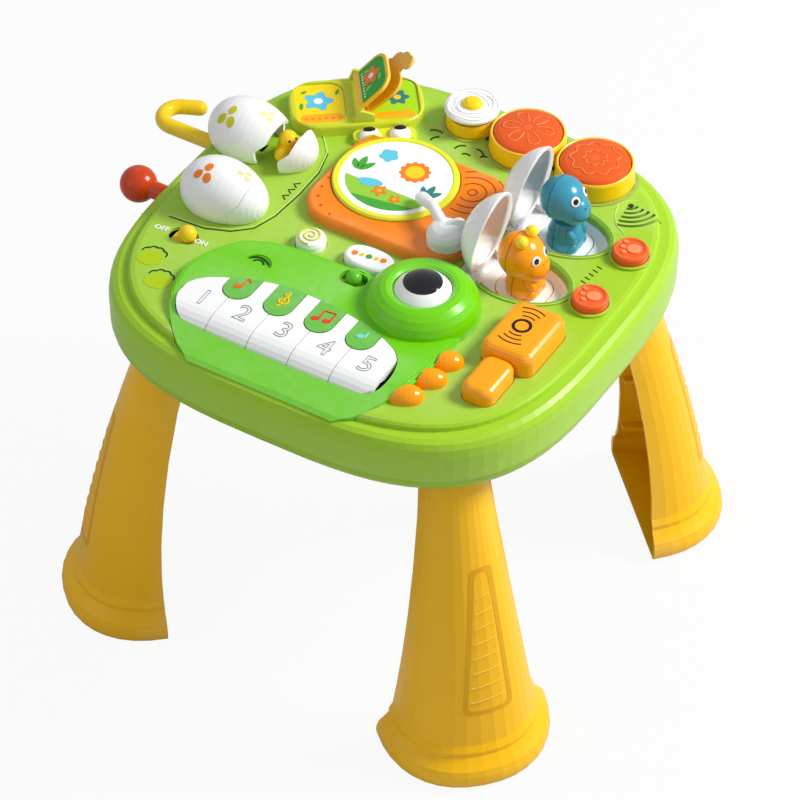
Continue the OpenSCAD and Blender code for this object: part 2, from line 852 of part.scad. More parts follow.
// A fixed cup on the deck with a bored guide for the drum's stem
module drum_cup(xy, r, h) on_table()
  translate([xy.x, xy.y, deck_z])
    rotate_extrude()
      polygon([[drum_stem_r + 0.3, 0], [r, 0], [r + 0.4, 2], [r - 0.4, h - 2], [r - 1, h - 0.5],
               [r - 1.8, h], [r - 2.6, h - 0.6], [r - 2.8, 4], [drum_stem_r + 0.3, 4]]);

module drum_stem(low) {
  translate([0, 0, -8]) cylinder(h = low + 9, r = drum_stem_r);
  translate([0, 0, -2.2]) cylinder(h = 2, r = drum_stem_r + 2.4);
}

module drum_cap(xy, r, low, high) on_table()
  translate([xy.x, xy.y, deck_z]) {
    rotate_extrude()
      polygon([[0, low], [r, low], [r, high - 3], [r - 1.2, high - 1.2], [r - 4, high],
               [r * 0.5, high + 1.4], [0, high + 1.8]]);
    drum_stem(low);
  }

module egg_cup() color("orange") drum_cup(egg_drum_xy, 20, 11);
module citrus_cup() color("gold") drum_cup(citrus_drum_xy, 29.6, 16);
module donut_cup() color("gold") drum_cup(donut_drum_xy, 30.3, 16);
module citrus_cap() color("orangered") drum_cap(citrus_drum_xy, 26.3, 8, 18);
module donut_cap() color("orangered") drum_cap(donut_drum_xy, 27, 8, 18);

module egg_white() color("white") on_table()
  translate([egg_drum_xy.x, egg_drum_xy.y, deck_z]) {
    difference() {
      rotate_extrude()
        polygon([[0, 14.2], [20.2, 14.2], [21.4, 15.4], [21.4, 17.2], [20, 18.6], [17, 19],
                 [15, 18.4], [13, 19.2], [9, 19.2], [0, 19]]);
      translate([0, 0, 17]) cylinder(h = 5, r = 8.2);
    }
    drum_stem(14.2);
  }

module egg_yolk() color("gold") on_table()
  translate([egg_drum_xy.x, egg_drum_xy.y, deck_z])
    rotate_extrude()
      polygon([[0, 17], [8.2, 17], [8.2, 19.4], [7, 21.6], [4.4, 23.2], [0, 23.8]]);

// ---------- sliding eggs ----------

module egg_solid(y, inset) {
  translate([egg_centre_x, y, egg_axis_z])
    ovoid_x(egg_half_l - inset, egg_r - inset, 0.12, 20);
}

// Everything to the left of the zigzag crack, seen from the front
module left_of_crack(y, gap) {
  translate([gap, y + 60, 0]) rotate([90, 0, 0])
    linear_extrude(120)
      polygon([[-250, deck_z - 40], [-116, deck_z - 40], [-117, deck_z + 13],
               [-110, deck_z + 19], [-108, deck_z + 27], [-102, deck_z + 40],
               [-102, deck_z + 70], [-250, deck_z + 70]]);
}

module egg_slider(y) {
  difference() {
    intersection() {
      egg_solid(y, 0);
      left_of_crack(y, -0.3);
    }
    difference() {
      egg_solid(y, egg_wall);
      for (x = [lug_x - 6, lug_x + 3.6])
        translate([x, y - 40, deck_z - 40]) cube([2.4, 80, 120]);
    }
    translate([-250, y - 60, deck_z - 60]) cube([250, 120, 60.4]);
  }
}

module egg_end(y)
  difference() {
    egg_solid(y, 0);
    egg_solid(y, egg_wall);
    left_of_crack(y, 0);
    translate([-250, y - 60, deck_z - 60]) cube([250, 120, 60]);
  }

// The lug that carries the big end of the egg on its handle, through the deck's slot
module handle_lug(y) {
  translate([lug_x - 3.6, y - 4, handle_z - 4]) cube([7.2, 8, deck_z + 20 - handle_z]);
}

module chick(y) color("yellow") on_table() {
  translate([chick_x, y, deck_z])
    rotate_extrude()
      polygon([[0, 0.05], [8.6, 0.05], [9, 4], [8.8, 12], [7.4, 16], [0, 18]]);
  for (s = [-1, 1])
    translate([chick_x, y + s * 8, deck_z + 9]) sphere(r = 6.6);
  translate([chick_x, y, chick_head_z]) sphere(r = chick_head_r);
  translate([chick_x + 5.7, y, chick_head_z - 0.4]) rotate([0, 90, 0]) cylinder(h = 4.4, r1 = 2.4, r2 = 0.6);
}

module front_egg_end() color("white") on_table() egg_end(front_egg_y);
module rear_egg_end() color("white") on_table() egg_end(rear_egg_y);
module front_egg_slider() color("white") on_table() egg_slider(front_egg_y);
module rear_egg_slider() color("white") on_table()
  translate([-egg_travel, 0, 0]) egg_slider(rear_egg_y);
module front_chick() chick(front_egg_y);
module rear_chick() chick(rear_egg_y);

module ball_handle() color("orangered") on_table() {
  translate([-212, front_egg_y, handle_z]) sphere(r = ball_r);
  rod_x(-205, front_egg_y, handle_z, lug_x + 205, 7);
  handle_lug(front_egg_y);
}

// The hook's path as a list of [x, y, heading, radius], from the lug to the rounded tip
function hook_path(bend_x, bend_r, bend) =
  let (end_h = 180 - bend,
       end = [bend_x - bend_r * sin(bend), rear_egg_y + bend_r * (1 - cos(bend))])
  concat(
    [[lug_x - egg_travel, rear_egg_y, 180, hook_r]],
    [for (t = [0:13:bend])
      [bend_x - bend_r * sin(t), rear_egg_y + bend_r * (1 - cos(t)), 180 - t, hook_r]],
    [for (t = [0:18:72])
      let (reach = 14 + hook_r * sin(t))
      [end.x + reach * cos(end_h), end.y + reach * sin(end_h), end_h, hook_r * cos(t)]]);

function rod_ring(p) =
  [for (a = [0:15:345])
    [p[0] - p[3] * cos(a) * sin(p[2]), p[1] + p[3] * cos(a) * cos(p[2]),
     handle_z + p[3] * sin(a)]];

module hook_handle() color("gold") on_table() {
  loft([for (p = hook_path(-230, 13, 156)) rod_ring(p)]);
  translate([-egg_travel, 0, 0]) handle_lug(rear_egg_y);
}

// ---------- nests, lids and dinosaurs ----------

module dino_base_outline(grow) {
  translate([dino_x, 0]) polygon(superellipse(dino_base.x + grow, dino_base.y + grow, 2.5, 40));
}

module nest(y) color("white") on_table() translate([0, y, 0]) {
  difference() {
    union() {
      prism(nest_outline(0), nest_floor_z - 2.4, deck_z - 0.6 - nest_floor_z + 2.4);
      prism(nest_outline(3.4), ceiling_z - 2.4, 2.3);
      translate([0, 0, floor_z + 3])
        linear_extrude(nest_floor_z - floor_z - 4) dino_base_outline(2.6);
      translate([0, 0, deck_z - 9.6]) linear_extrude(9) hinge_notch(1.8);
    }
    loft([ring(nest_outline(-7), nest_floor_z), ring(nest_outline(-4), nest_floor_z + 2),
          ring(nest_outline(-2.2), nest_floor_z + 5), ring(nest_outline(-1.6), deck_z + 1)]);
    translate([0, 0, floor_z - 4]) linear_extrude(60) dino_base_outline(0.4);
    translate([0, 0, deck_z - 7.8]) linear_extrude(20)
      translate([lid_hinge_x - 10.6, -17.9]) square([18, 35.8]);
  }
  for (s = [-1, 1])
    difference() {
      translate([lid_hinge_x - 3, s * (ear_y + 1.5) - 1.5, deck_z - 1]) cube([6, 3, 5.4]);
      lid_pins(1.56);
    }
}

// Both hinge pins of a lid, on the hinge axis
module lid_pins(r) {
  for (s = [-1, 1])
    translate([lid_hinge_x, s * (ear_y - 1.9) + 4.6, lid_hinge_z])
      rotate([90, 0, 0]) cylinder(h = 9.2, r = r);
}

// The lid is drawn closed over the nest and then swung back about its hinge
module lid(y) color("white") on_table()
  translate([lid_hinge_x, y, lid_hinge_z]) rotate([0, -lid_open, 0]) {
    difference() {
      translate([lid_centre, 0, -lid_sunk]) ovoid_x(lid_half_l, lid_r, 0.1, 20);
      translate([lid_centre, 0, -lid_sunk])
        ovoid_x(lid_half_l - egg_wall, lid_r - egg_wall, 0.1, 20);
      translate([-40, -60, -60]) cube([200, 120, 60]);
    }
    translate([-lid_hinge_x, 0, -lid_hinge_z]) lid_pins(1.5);
  }

// The floor of the nest that carries the dinosaur and sinks with it
module dino_plinth() {
  translate([0, 0, nest_floor_z - plinth_h]) linear_extrude(plinth_h) dino_base_outline(0);
}

module dino_body() {
  translate([dino_x, 0, nest_floor_z])
    rotate_extrude()
      polygon([[0, -1], [12.6, -1], [14, 2.4], [14.2, 8], [13, 14], [11, 19], [9.5, 23], [0, 26]]);
  for (s = [-1, 1]) {
    translate([dino_x + 9, s * 6.5, nest_floor_z + 3.4]) sphere(r = 5);
    translate([dino_x + 9.4, s * 8.2, nest_floor_z + 14.6]) rotate([0, 60, -s * 18])
      ovoid_x(6.6, 3.6, 0, 10);
  }
}

module blue_dino() color("steelblue") on_table() translate([0, blue_y, 0]) {
  dino_plinth();
  dino_body();
  translate([dino_x - 3, 0, nest_floor_z + 41.6]) sphere(r = 17.4);
  translate([dino_x + 6.5, 0, nest_floor_z + 35.5]) sphere(r = 12.6);
}

module orange_dino() color("orange") on_table() translate([0, orange_y, 0]) {
  dino_plinth();
  dino_body();
  translate([dino_x - 3, 0, nest_floor_z + 31.8]) sphere(r = 17.8);
  translate([dino_x + 5.5, 0, nest_floor_z + 26]) sphere(r = 13.4);
  for (s = [-1, 1])
    translate([dino_x + 1, s * 7, nest_floor_z + 50]) sphere(r = 4.6);
}

module blue_nest() nest(blue_y);
module orange_nest() nest(orange_y);
module blue_lid() lid(blue_y);
module orange_lid() lid(orange_y);

// ---------- book ----------

module at_book() {
  translate([book_xy.x, book_xy.y, 0]) rotate([0, 0, book_turn]) children();
}

module page_pin(at) {
  translate([at.x, 27, at.y]) rotate([90, 0, 0]) cylinder(h = 54, r = 1.5);
}

module book_base() color("greenyellow") on_table() at_book() {
  difference() {
    pebble(rounded_rect(2 * book_half.x, 2 * book_half.y, 22, 8), deck_z, book_h, 2.5);
    for (s = [-1, 1])
      translate([s * 28.5, 0])
        prism(rounded_rect(40, 50, 12, 5), deck_z + book_h - 1.6, 4);
  }
  for (s = [-1, 1])
    hull() {
      translate([-4, s * 25.5 - 1.5, deck_z + book_h - 1]) cube([16, 3, 1]);
      for (at = [front_page_at, tab_page_at])
        translate([at.x, s * 25.5 + 1.5, at.y]) rotate([90, 0, 0])
          cylinder(h = 3, r = 3.2, $fn = 24);
    }
  page_pin(front_page_at);
  page_pin(tab_page_at);
}

module page(at, rest, w, color_name) color(color_name) on_table() at_book()
  translate([at.x, 0, at.y]) rotate([0, -rest, 0])
    difference() {
      union() {
        rotate([90, 0, 0]) cylinder(h = page_l, r = 2.7, center = true);
        linear_extrude(page_t)
          polygon(concat([[0, -page_l / 2 + 1]],
                         [for (t = [-90:15:0]) [w - 12 + 12 * cos(t), -page_l / 2 + 13 + 12 * sin(t)]],
                         [for (t = [0:15:90]) [w - 12 + 12 * cos(t), page_l / 2 - 13 + 12 * sin(t)]],
                         [[0, page_l / 2 - 1]]));
        children();
      }
      rotate([90, 0, 0]) cylinder(h = page_l + 2, r = 1.55, center = true);
    }

module front_page() page(front_page_at, front_page_rest, page_w, "forestgreen");

// The rear page carries a scalloped finger tab
module tab_page() page(tab_page_at, tab_page_rest, page_w, "gold")
  linear_extrude(page_t)
    for (p = [[34, 14], [40, 9], [42, 3], [33, 6]])
      translate(p) circle(6);

module frog_eyes() color("white") on_table()
  difference() {
    frog_brow();
    translate([plate_xy.x, plate_xy.y, 0])
      prism(rounded_rect(2 * plate_half.x + 0.8, 2 * plate_half.y + 0.8, 27.4, 8), deck_z - 1, 20);
  }

module frog_brow() at_book()
  translate([18.6, -book_half.y - 7, deck_z]) {
    difference() {
      prism(superellipse(24.4, 9.6, 2.6, 40), 0, 5);
      translate([-60, 6.9, -1]) cube([120, 20, 12]);
    }
    for (s = [-1, 1])
      translate([s * 11.6, -1, 4]) rotate_extrude()
        polygon([[0, 0], [7.8, 0], [7.6, 3], [6, 5], [3, 5.9], [0, 6]]);
  }

top_shell();
bottom_shell();
front_right_leg();
front_left_leg();
back_right_leg();
back_left_leg();
battery_door();
batteries();
circuit_board();
speaker();
case_screws();
key_shaft();
head_cover();
toe_claws();
eyeball();
pupil();
mode_knob();
power_knob();
key_1();
key_2();
key_3();
key_4();
key_5();
note_key_1();
note_key_2();
note_key_3();
note_key_4();
record_plate();
record_disc();
tonearm();
snail_button();
oval_button();
hammer_button();
front_egg_end();
front_egg_slider();
ball_handle();
front_chick();
rear_egg_end();
rear_egg_slider();
hook_handle();
rear_chick();
egg_cup();
egg_white();
egg_yolk();
citrus_cup();
citrus_cap();
donut_cup();
donut_cap();
blue_nest();
blue_lid();
blue_dino();
orange_nest();
orange_lid();
orange_dino();
near_paw_button();
far_paw_button();
book_base();
front_page();
tab_page();
frog_eyes();
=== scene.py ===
import math
import bpy
import bmesh
from mathutils import Vector, Matrix


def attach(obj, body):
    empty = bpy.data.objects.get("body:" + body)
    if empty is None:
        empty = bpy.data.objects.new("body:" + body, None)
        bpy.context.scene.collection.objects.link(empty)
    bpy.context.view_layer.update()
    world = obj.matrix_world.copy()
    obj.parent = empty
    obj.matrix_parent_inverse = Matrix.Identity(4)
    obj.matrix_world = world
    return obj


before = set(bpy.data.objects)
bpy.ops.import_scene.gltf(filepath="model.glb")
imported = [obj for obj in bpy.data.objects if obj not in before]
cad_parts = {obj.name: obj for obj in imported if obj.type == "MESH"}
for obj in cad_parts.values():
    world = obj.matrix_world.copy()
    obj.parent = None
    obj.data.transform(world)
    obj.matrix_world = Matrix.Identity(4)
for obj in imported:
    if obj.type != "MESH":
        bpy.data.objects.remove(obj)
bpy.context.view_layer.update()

# ---- Stage -------------------------------------------------------------------
# A pale floor under the table, one large soft lamp behind to the right, a weaker
# one in front, and a pale sky. The camera stands above the front right corner.

MM = 0.001
MIDDLE_X, MIDDLE_Y = 20.0, 4.0  # where the table's own middle lies, in mm


def at(x, y, z):
    """A place on the table, in mm from the table's own middle, as metres."""
    return Vector(((x + MIDDLE_X) * MM, (y + MIDDLE_Y) * MM, z * MM))


def clear_selection():
    for o in bpy.context.selected_objects:
        o.select_set(False)


def srgb(r, g, b):
    """A colour as a paint chart gives it, 0 to 255, in the shader's own scale."""
    return tuple((c / 255 / 12.92) if c < 11 else ((c / 255 + 0.055) / 1.055) ** 2.4
                 for c in (r, g, b)) + (1.0,)


clear_selection()
camera = bpy.data.objects.new("camera", bpy.data.cameras.new("camera"))
bpy.context.collection.objects.link(camera)
camera.data.sensor_width = 36
camera.data.lens = 172.71
camera.data.clip_start, camera.data.clip_end = 0.1, 20
right = Vector((0.85491, 0.51877, 0))
up = Vector((-0.35460, 0.58436, 0.72993))
back = Vector((0.37867, -0.62403, 0.68353))
spot = Vector((1.1205 + MIDDLE_X * MM, -1.8401 + MIDDLE_Y * MM, 2.1697))
camera.matrix_world = Matrix((
    (right.x, up.x, back.x, spot.x), (right.y, up.y, back.y, spot.y),
    (right.z, up.z, back.z, spot.z), (0, 0, 0, 1)))
bpy.context.scene.camera = camera

bpy.context.scene.view_settings.view_transform = "Standard"
world = bpy.data.worlds.new("studio")
bpy.context.scene.world = world
world.use_nodes = True
sky = world.node_tree.nodes["Background"]
sky.inputs["Color"].default_value = (0.95, 0.97, 1.0, 1)
sky.inputs["Strength"].default_value = 0.5


def lamp(name, place, aim, size, watts, colour):
    data = bpy.data.lights.new(name, "AREA")
    data.shape, data.size, data.energy, data.color = "DISK", size, watts, colour
    o = bpy.data.objects.new(name, data)
    bpy.context.collection.objects.link(o)
    o.location = place
    o.rotation_euler = (Vector(place) - Vector(aim)).to_track_quat("Z", "Y").to_euler()


lamp("back_right_softbox", (1.6, 1.1, 1.9), (0, 0, 0.28), 0.9, 66, (1.0, 0.99, 0.97))
lamp("front_left_fill", (-1.5, -1.9, 1.4), (0, 0, 0.2), 1.8, 5, (0.95, 0.98, 1.0))

bpy.ops.mesh.primitive_plane_add(size=12, location=(0, 0, -0.0006))
floor = bpy.context.object
floor.name = "floor"
floor_paint = bpy.data.materials.new("floor_paint")
floor_paint.use_nodes = True
nodes, links = floor_paint.node_tree.nodes, floor_paint.node_tree.links
matt = nodes["Principled BSDF"]
matt.inputs["Base Color"].default_value = (0.62, 0.62, 0.62, 1)
matt.inputs["Roughness"].default_value = 0.9
matt.inputs["Specular IOR Level"].default_value = 0.1
path, white = nodes.new("ShaderNodeLightPath"), nodes.new("ShaderNodeEmission")
blend_in = nodes.new("ShaderNodeMixShader")
white.inputs["Color"].default_value = (1, 1, 1, 1)
lift = nodes.new("ShaderNodeMath")
lift.operation = "MULTIPLY"
lift.inputs[1].default_value = 0.93
links.new(path.outputs["Is Camera Ray"], lift.inputs[0])
links.new(lift.outputs[0], blend_in.inputs[0])
links.new(matt.outputs[0], blend_in.inputs[1])
links.new(white.outputs[0], blend_in.inputs[2])
links.new(blend_in.outputs[0], nodes["Material Output"].inputs["Surface"])
floor.data.materials.append(floor_paint)
clear_selection()

# ---- Table shells ------------------------------------------------------------
# Two injection-moulded ABS shells, screwed together from below. The plastic is
# glossy, with a faint flow pattern, a fine grain, and paled edges that are partly
# scuffs where hands pass and partly painted sheen. Raised lines, leaf shapes and
# switch words are moulded on and inked; the dark line along the egg zone is painted
# shadow, and the pale lines beside it and round the leaf tips are painted highlight.


def shader_group(name, inputs, outputs):
    group = bpy.data.node_groups.new(name, "ShaderNodeTree")
    for label, kind, value in inputs:
        socket = group.interface.new_socket(label, in_out="INPUT", socket_type=kind)
        socket.default_value = value
    for label, kind in outputs:
        group.interface.new_socket(label, in_out="OUTPUT", socket_type=kind)
    return group, group.nodes.new("NodeGroupInput"), group.nodes.new("NodeGroupOutput")


def noise(group, scale, detail=2.0):
    coords = group.nodes.new("ShaderNodeTexCoord")
    n = group.nodes.new("ShaderNodeTexNoise")
    n.inputs["Scale"].default_value = scale
    n.inputs["Detail"].default_value = detail
    group.links.new(coords.outputs["Object"], n.inputs["Vector"])
    return n.outputs["Fac"]


def math_node(group, kind, a, b):
    m = group.nodes.new("ShaderNodeMath")
    m.operation = kind
    for socket, value in zip(m.inputs, (a, b)):
        if hasattr(value, "node"):
            group.links.new(value, socket)
        else:
            socket.default_value = value
    return m.outputs[0]


COLOUR, FLOAT = "NodeSocketColor", "NodeSocketFloat"
moulding, given, made = shader_group(
    "moulded_plastic",
    [("Colour", COLOUR, (0.5, 0.5, 0.5, 1)), ("Flow marks", FLOAT, 0.08), ("Grain", FLOAT, 0.25),
     ("Gloss", FLOAT, 0.3), ("Smudges", FLOAT, 0.12)],
    [("Colour", COLOUR), ("Roughness", FLOAT), ("Height", FLOAT)])
flow = math_node(moulding, "SUBTRACT", noise(moulding, 14, 3), 0.5)
tone = moulding.nodes.new("ShaderNodeHueSaturation")
moulding.links.new(given.outputs["Colour"], tone.inputs["Color"])
moulding.links.new(math_node(moulding, "ADD",
                             math_node(moulding, "MULTIPLY", flow, given.outputs["Flow marks"]),
                             1.0),
                   tone.inputs["Value"])
moulding.links.new(tone.outputs["Color"], made.inputs["Colour"])
smudge = math_node(moulding, "SUBTRACT", noise(moulding, 38, 4), 0.45)
moulding.links.new(math_node(moulding, "ADD",
                             math_node(moulding, "MULTIPLY", smudge, given.outputs["Smudges"]),
                             given.outputs["Gloss"]), made.inputs["Roughness"])
moulding.links.new(math_node(moulding, "MULTIPLY", noise(moulding, 1300, 1),
                             given.outputs["Grain"]), made.inputs["Height"])

# Convex edges, found by pointiness and broken by noise, turn pale: partly scuffs, partly painted
# sheen.
wear_and_sheen, given, made = shader_group(
    "edge_wear_and_sheen",
    [("Colour", COLOUR, (0.5, 0.5, 0.5, 1)), ("Roughness", FLOAT, 0.3), ("Amount", FLOAT, 0.3)],
    [("Colour", COLOUR), ("Roughness", FLOAT)])
shape = wear_and_sheen.nodes.new("ShaderNodeNewGeometry")
edge = math_node(wear_and_sheen, "MULTIPLY", math_node(wear_and_sheen, "SUBTRACT", shape.outputs["Pointiness"], 0.53),
                 6.0)
broken = math_node(wear_and_sheen, "MULTIPLY", noise(wear_and_sheen, 160, 3), edge)
clamp = wear_and_sheen.nodes.new("ShaderNodeClamp")
wear_and_sheen.links.new(math_node(wear_and_sheen, "MULTIPLY", broken, given.outputs["Amount"]), clamp.inputs[0])
pale = wear_and_sheen.nodes.new("ShaderNodeMix")
pale.data_type = "RGBA"
wear_and_sheen.links.new(clamp.outputs[0], pale.inputs["Factor"])
wear_and_sheen.links.new(given.outputs["Colour"], pale.inputs["A"])
pale.inputs["B"].default_value = (0.92, 0.92, 0.88, 1)
wear_and_sheen.links.new(pale.outputs["Result"], made.inputs["Colour"])
wear_and_sheen.links.new(math_node(wear_and_sheen, "ADD", given.outputs["Roughness"],
                         math_node(wear_and_sheen, "MULTIPLY", clamp.outputs[0], 0.3)),
               made.inputs["Roughness"])


def plastic(name, colour, gloss=0.3, grain=0.25, flow_marks=0.08, edge_wear_sheen=0.3, coat=0.1):
    """A moulded plastic of one colour, with flow marks, grain, smudges, and pale edges that are
    partly scuffs and partly painted sheen.
    """
    mat = bpy.data.materials.new(name)
    mat.use_nodes = True
    tree = mat.node_tree
    shader = tree.nodes["Principled BSDF"]
    skin, edges, bump = (tree.nodes.new(k)
                         for k in ("ShaderNodeGroup", "ShaderNodeGroup", "ShaderNodeBump"))
    skin.node_tree, edges.node_tree = moulding, wear_and_sheen
    skin.inputs["Colour"].default_value = srgb(*colour)
    skin.inputs["Flow marks"].default_value = flow_marks
    skin.inputs["Grain"].default_value = grain
    skin.inputs["Gloss"].default_value = gloss
    edges.inputs["Amount"].default_value = edge_wear_sheen
    bump.inputs["Strength"].default_value = 0.12
    bump.inputs["Distance"].default_value = 0.0004
    tree.links.new(skin.outputs["Colour"], edges.inputs["Colour"])
    tree.links.new(skin.outputs["Roughness"], edges.inputs["Roughness"])
    tree.links.new(edges.outputs["Colour"], shader.inputs["Base Color"])
    tree.links.new(edges.outputs["Roughness"], shader.inputs["Roughness"])
    tree.links.new(skin.outputs["Height"], bump.inputs["Height"])
    tree.links.new(bump.outputs["Normal"], shader.inputs["Normal"])
    shader.inputs["Specular IOR Level"].default_value = 0.32
    shader.inputs["Coat Weight"].default_value = coat
    shader.inputs["Coat Roughness"].default_value = 0.12
    return mat


def dress(material, *names):
    for n in names:
        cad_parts[n].material_slots[0].material = material


lime = plastic("lime_plastic", (160, 205, 40))
dress(lime, "top_shell")
dress(plastic("lower_lime_plastic", (150, 196, 30)), "bottom_shell", "battery_door")


def start_outline(name, points, closed=True):
    """A line through points in mm from its own origin, ready to be filled or drawn up."""
    clear_selection()
    bpy.ops.mesh.primitive_circle_add(vertices=len(points), radius=0.01)
    o = bpy.context.object
    o.name = name
    for v, p in zip(o.data.vertices, points):
        v.co = Vector(p) * MM
    if not closed:
        ends = {0, len(points) - 1}
        form = bmesh.new()
        form.from_mesh(o.data)
        bmesh.ops.delete(form, geom=[e for e in form.edges if {v.index for v in e.verts} == ends],
                         context="EDGES_FACES")
        form.to_mesh(o.data)
        form.free()
    return o


def joined(name, parts):
    clear_selection()
    for p in parts:
        p.select_set(True)
    bpy.context.view_layer.objects.active = parts[0]
    if len(parts) > 1:
        bpy.ops.object.join()
    o = bpy.context.object
    o.name = name
    return o


LIFT_X, LIFT_Z = 330, 420  # how far out, or up, a form waits before it is pressed on, in mm


def press_onto(o, node, axis):
    """Moves a form back along its own axis onto a moulding, and trims what overhangs it."""
    m = o.modifiers.new("press", "SHRINKWRAP")
    m.target, m.wrap_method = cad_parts[node], "PROJECT"
    m.use_project_x, m.use_project_y, m.use_project_z = axis == "X", axis == "Y", axis == "Z"
    m.use_negative_direction, m.use_positive_direction = True, False
    bpy.ops.object.modifier_apply(modifier=m.name)
    form = bmesh.new()
    form.from_mesh(o.data)
    missed = [v for v in form.verts
              if (v.co.z > (LIFT_Z - 20) * MM if axis == "Z" else v.co.x > (LIFT_X - 5) * MM)]
    bmesh.ops.delete(form, geom=missed, context="VERTS")
    form.to_mesh(o.data)
    form.free()


def set_down(o, material, body="table", smooth=40):
    """Puts a finished form's place into its mesh, gives it its plastic and its body."""
    clear_selection()
    o.select_set(True)
    bpy.context.view_layer.objects.active = o
    for m in list(o.modifiers):
        bpy.ops.object.modifier_apply(modifier=m.name)
    bpy.ops.object.transform_apply(location=True, rotation=True, scale=True)
    bpy.ops.object.shade_smooth_by_angle(angle=math.radians(smooth))
    o.data.materials.clear()
    o.data.materials.append(material)
    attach(o, body)
    clear_selection()
    return o


def lifted(points, axis, level=None):
    """Flat points at a known level, or well clear of the surface they will be pressed onto."""
    return [(px, py, level or LIFT_Z) if axis == "Z" else (LIFT_X, px, py) for px, py in points]


def beads(name, paths, radius, material, node, body="table", axis="Z", spot=(0, 0, 0), turn=0,
          closed=False, level=None):
    """Fine raised lines of round section, each path laid on the surface of a moulding."""
    o = joined(name, [start_outline(name, lifted(p, axis, level), closed) for p in paths])
    o.location = at(*spot)
    o.rotation_euler = (0, 0, math.radians(turn))
    if level is None:
        press_onto(o, node, axis)
    return rounded_line(o, radius, material, body)


def rounded_line(o, radius, material, body):
    """Gives bare lines a round section, and sets them down."""
    bpy.ops.object.convert(target="CURVE")
    o = bpy.context.object
    o.data.bevel_depth, o.data.bevel_resolution, o.data.use_fill_caps = radius * MM, 1, True
    bpy.ops.object.convert(target="MESH")
    return set_down(bpy.context.object, material, body, 60)


def filled(name, outline, cuts):
    """A closed line filled as a fan facing forward, cut finer so that it can follow a curve."""
    o = start_outline(name, outline)
    bpy.ops.object.mode_set(mode="EDIT")
    bpy.ops.mesh.select_all(action="SELECT")
    bpy.ops.mesh.edge_face_add()
    bpy.ops.mesh.poke()
    if cuts:
        bpy.ops.mesh.subdivide(number_cuts=cuts)
    bpy.ops.object.mode_set(mode="OBJECT")
    if sum(o.data.polygons[0].normal) < 0:
        o.data.flip_normals()
    return o


INLAY_ROOT = 0.4  # how deep an inlay's underside lies in its moulding, in mm


def inlay(name, outlines, thick, material, node, body="table", axis="Z", spot=(0, 0, 0), turn=0,
          cuts=0, level=None):
    """Thin inked or raised shapes, laid on the surface of a moulding and as thick as given."""
    o = joined(name, [filled(name, lifted(p, axis, level), cuts) for p in outlines])
    o.location = at(*spot)
    o.rotation_euler = (0, 0, math.radians(turn))
    if level is None:
        press_onto(o, node, axis)
    m = o.modifiers.new("thickness", "SOLIDIFY")
    whole = thick + INLAY_ROOT
    m.thickness, m.offset = whole * MM, 2 * thick / whole - 1
    return set_down(o, material, body)


def ribbon(name, outer, inner, thick, material, node, body="table", axis="Z", spot=(0, 0, 0),
           turn=0, level=None):
    """A flat closed band between two lines of the same count of points, laid on a moulding."""
    o = joined(name, [start_outline(name, lifted(p, axis, level)) for p in (outer, inner)])
    bpy.ops.object.mode_set(mode="EDIT")
    bpy.ops.mesh.select_all(action="SELECT")
    bpy.ops.mesh.bridge_edge_loops()
    bpy.ops.mesh.normals_make_consistent(inside=False)
    bpy.ops.object.mode_set(mode="OBJECT")
    o.location = at(*spot)
    o.rotation_euler = (0, 0, math.radians(turn))
    if level is None:
        press_onto(o, node, axis)
    m = o.modifiers.new("thickness", "SOLIDIFY")
    m.thickness, m.offset = 2 * thick * MM, 0
    return set_down(o, material, body, 50)


def oval(x, y, rx, ry=None, turn=0, n=24):
    ry = rx if ry is None else ry
    c, s = math.cos(math.radians(turn)), math.sin(math.radians(turn))
    round_points = [(rx * math.cos(2 * math.pi * i / n), ry * math.sin(2 * math.pi * i / n))
                    for i in range(n)]
    return [(x + px * c - py * s, y + px * s + py * c) for px, py in round_points]


def arc(x, y, r, start, end, n=12):
    steps = [math.radians(start + (end - start) * i / n) for i in range(n + 1)]
    return [(x + r * math.cos(a), y + r * math.sin(a)) for a in steps]


def letters(name, text, x, y, z, size, turn, material):
    """Raised lettering, drawn as type and then made a mesh."""
    clear_selection()
    bpy.ops.object.text_add(location=at(x, y, z))
    o = bpy.context.object
    o.name = name
    o.data.body, o.data.size = text, size * MM
    o.data.extrude, o.data.offset = 0.3 * MM, 0.02 * size * MM
    o.data.align_x, o.data.align_y = "CENTER", "CENTER"
    o.rotation_euler = (0, 0, math.radians(turn))
    bpy.ops.object.convert(target="MESH")
    return set_down(bpy.context.object, material, "table", 20)


dark_ink_and_shadow = plastic("dark_green_ink_and_painted_shadow", (28, 62, 10), gloss=0.5, edge_wear_sheen=0.0)
leaf_ink = plastic("leaf_lime_ink", (176, 204, 4), gloss=0.45, edge_wear_sheen=0.0)
pale_lime_and_highlight = plastic("pale_lime_and_painted_highlight", (196, 228, 96))
white_ink = plastic("white_ink", (246, 248, 240), gloss=0.5, edge_wear_sheen=0.0)

DECK_Z = 311  # the top of the deck, in mm
zone = [(-186, -60), (-160, -61), (-130, -59), (-112, -52), (-99, -40), (-93, -20), (-91, 10),
        (-92, 40), (-98, 62), (-110, 76), (-130, 87)]
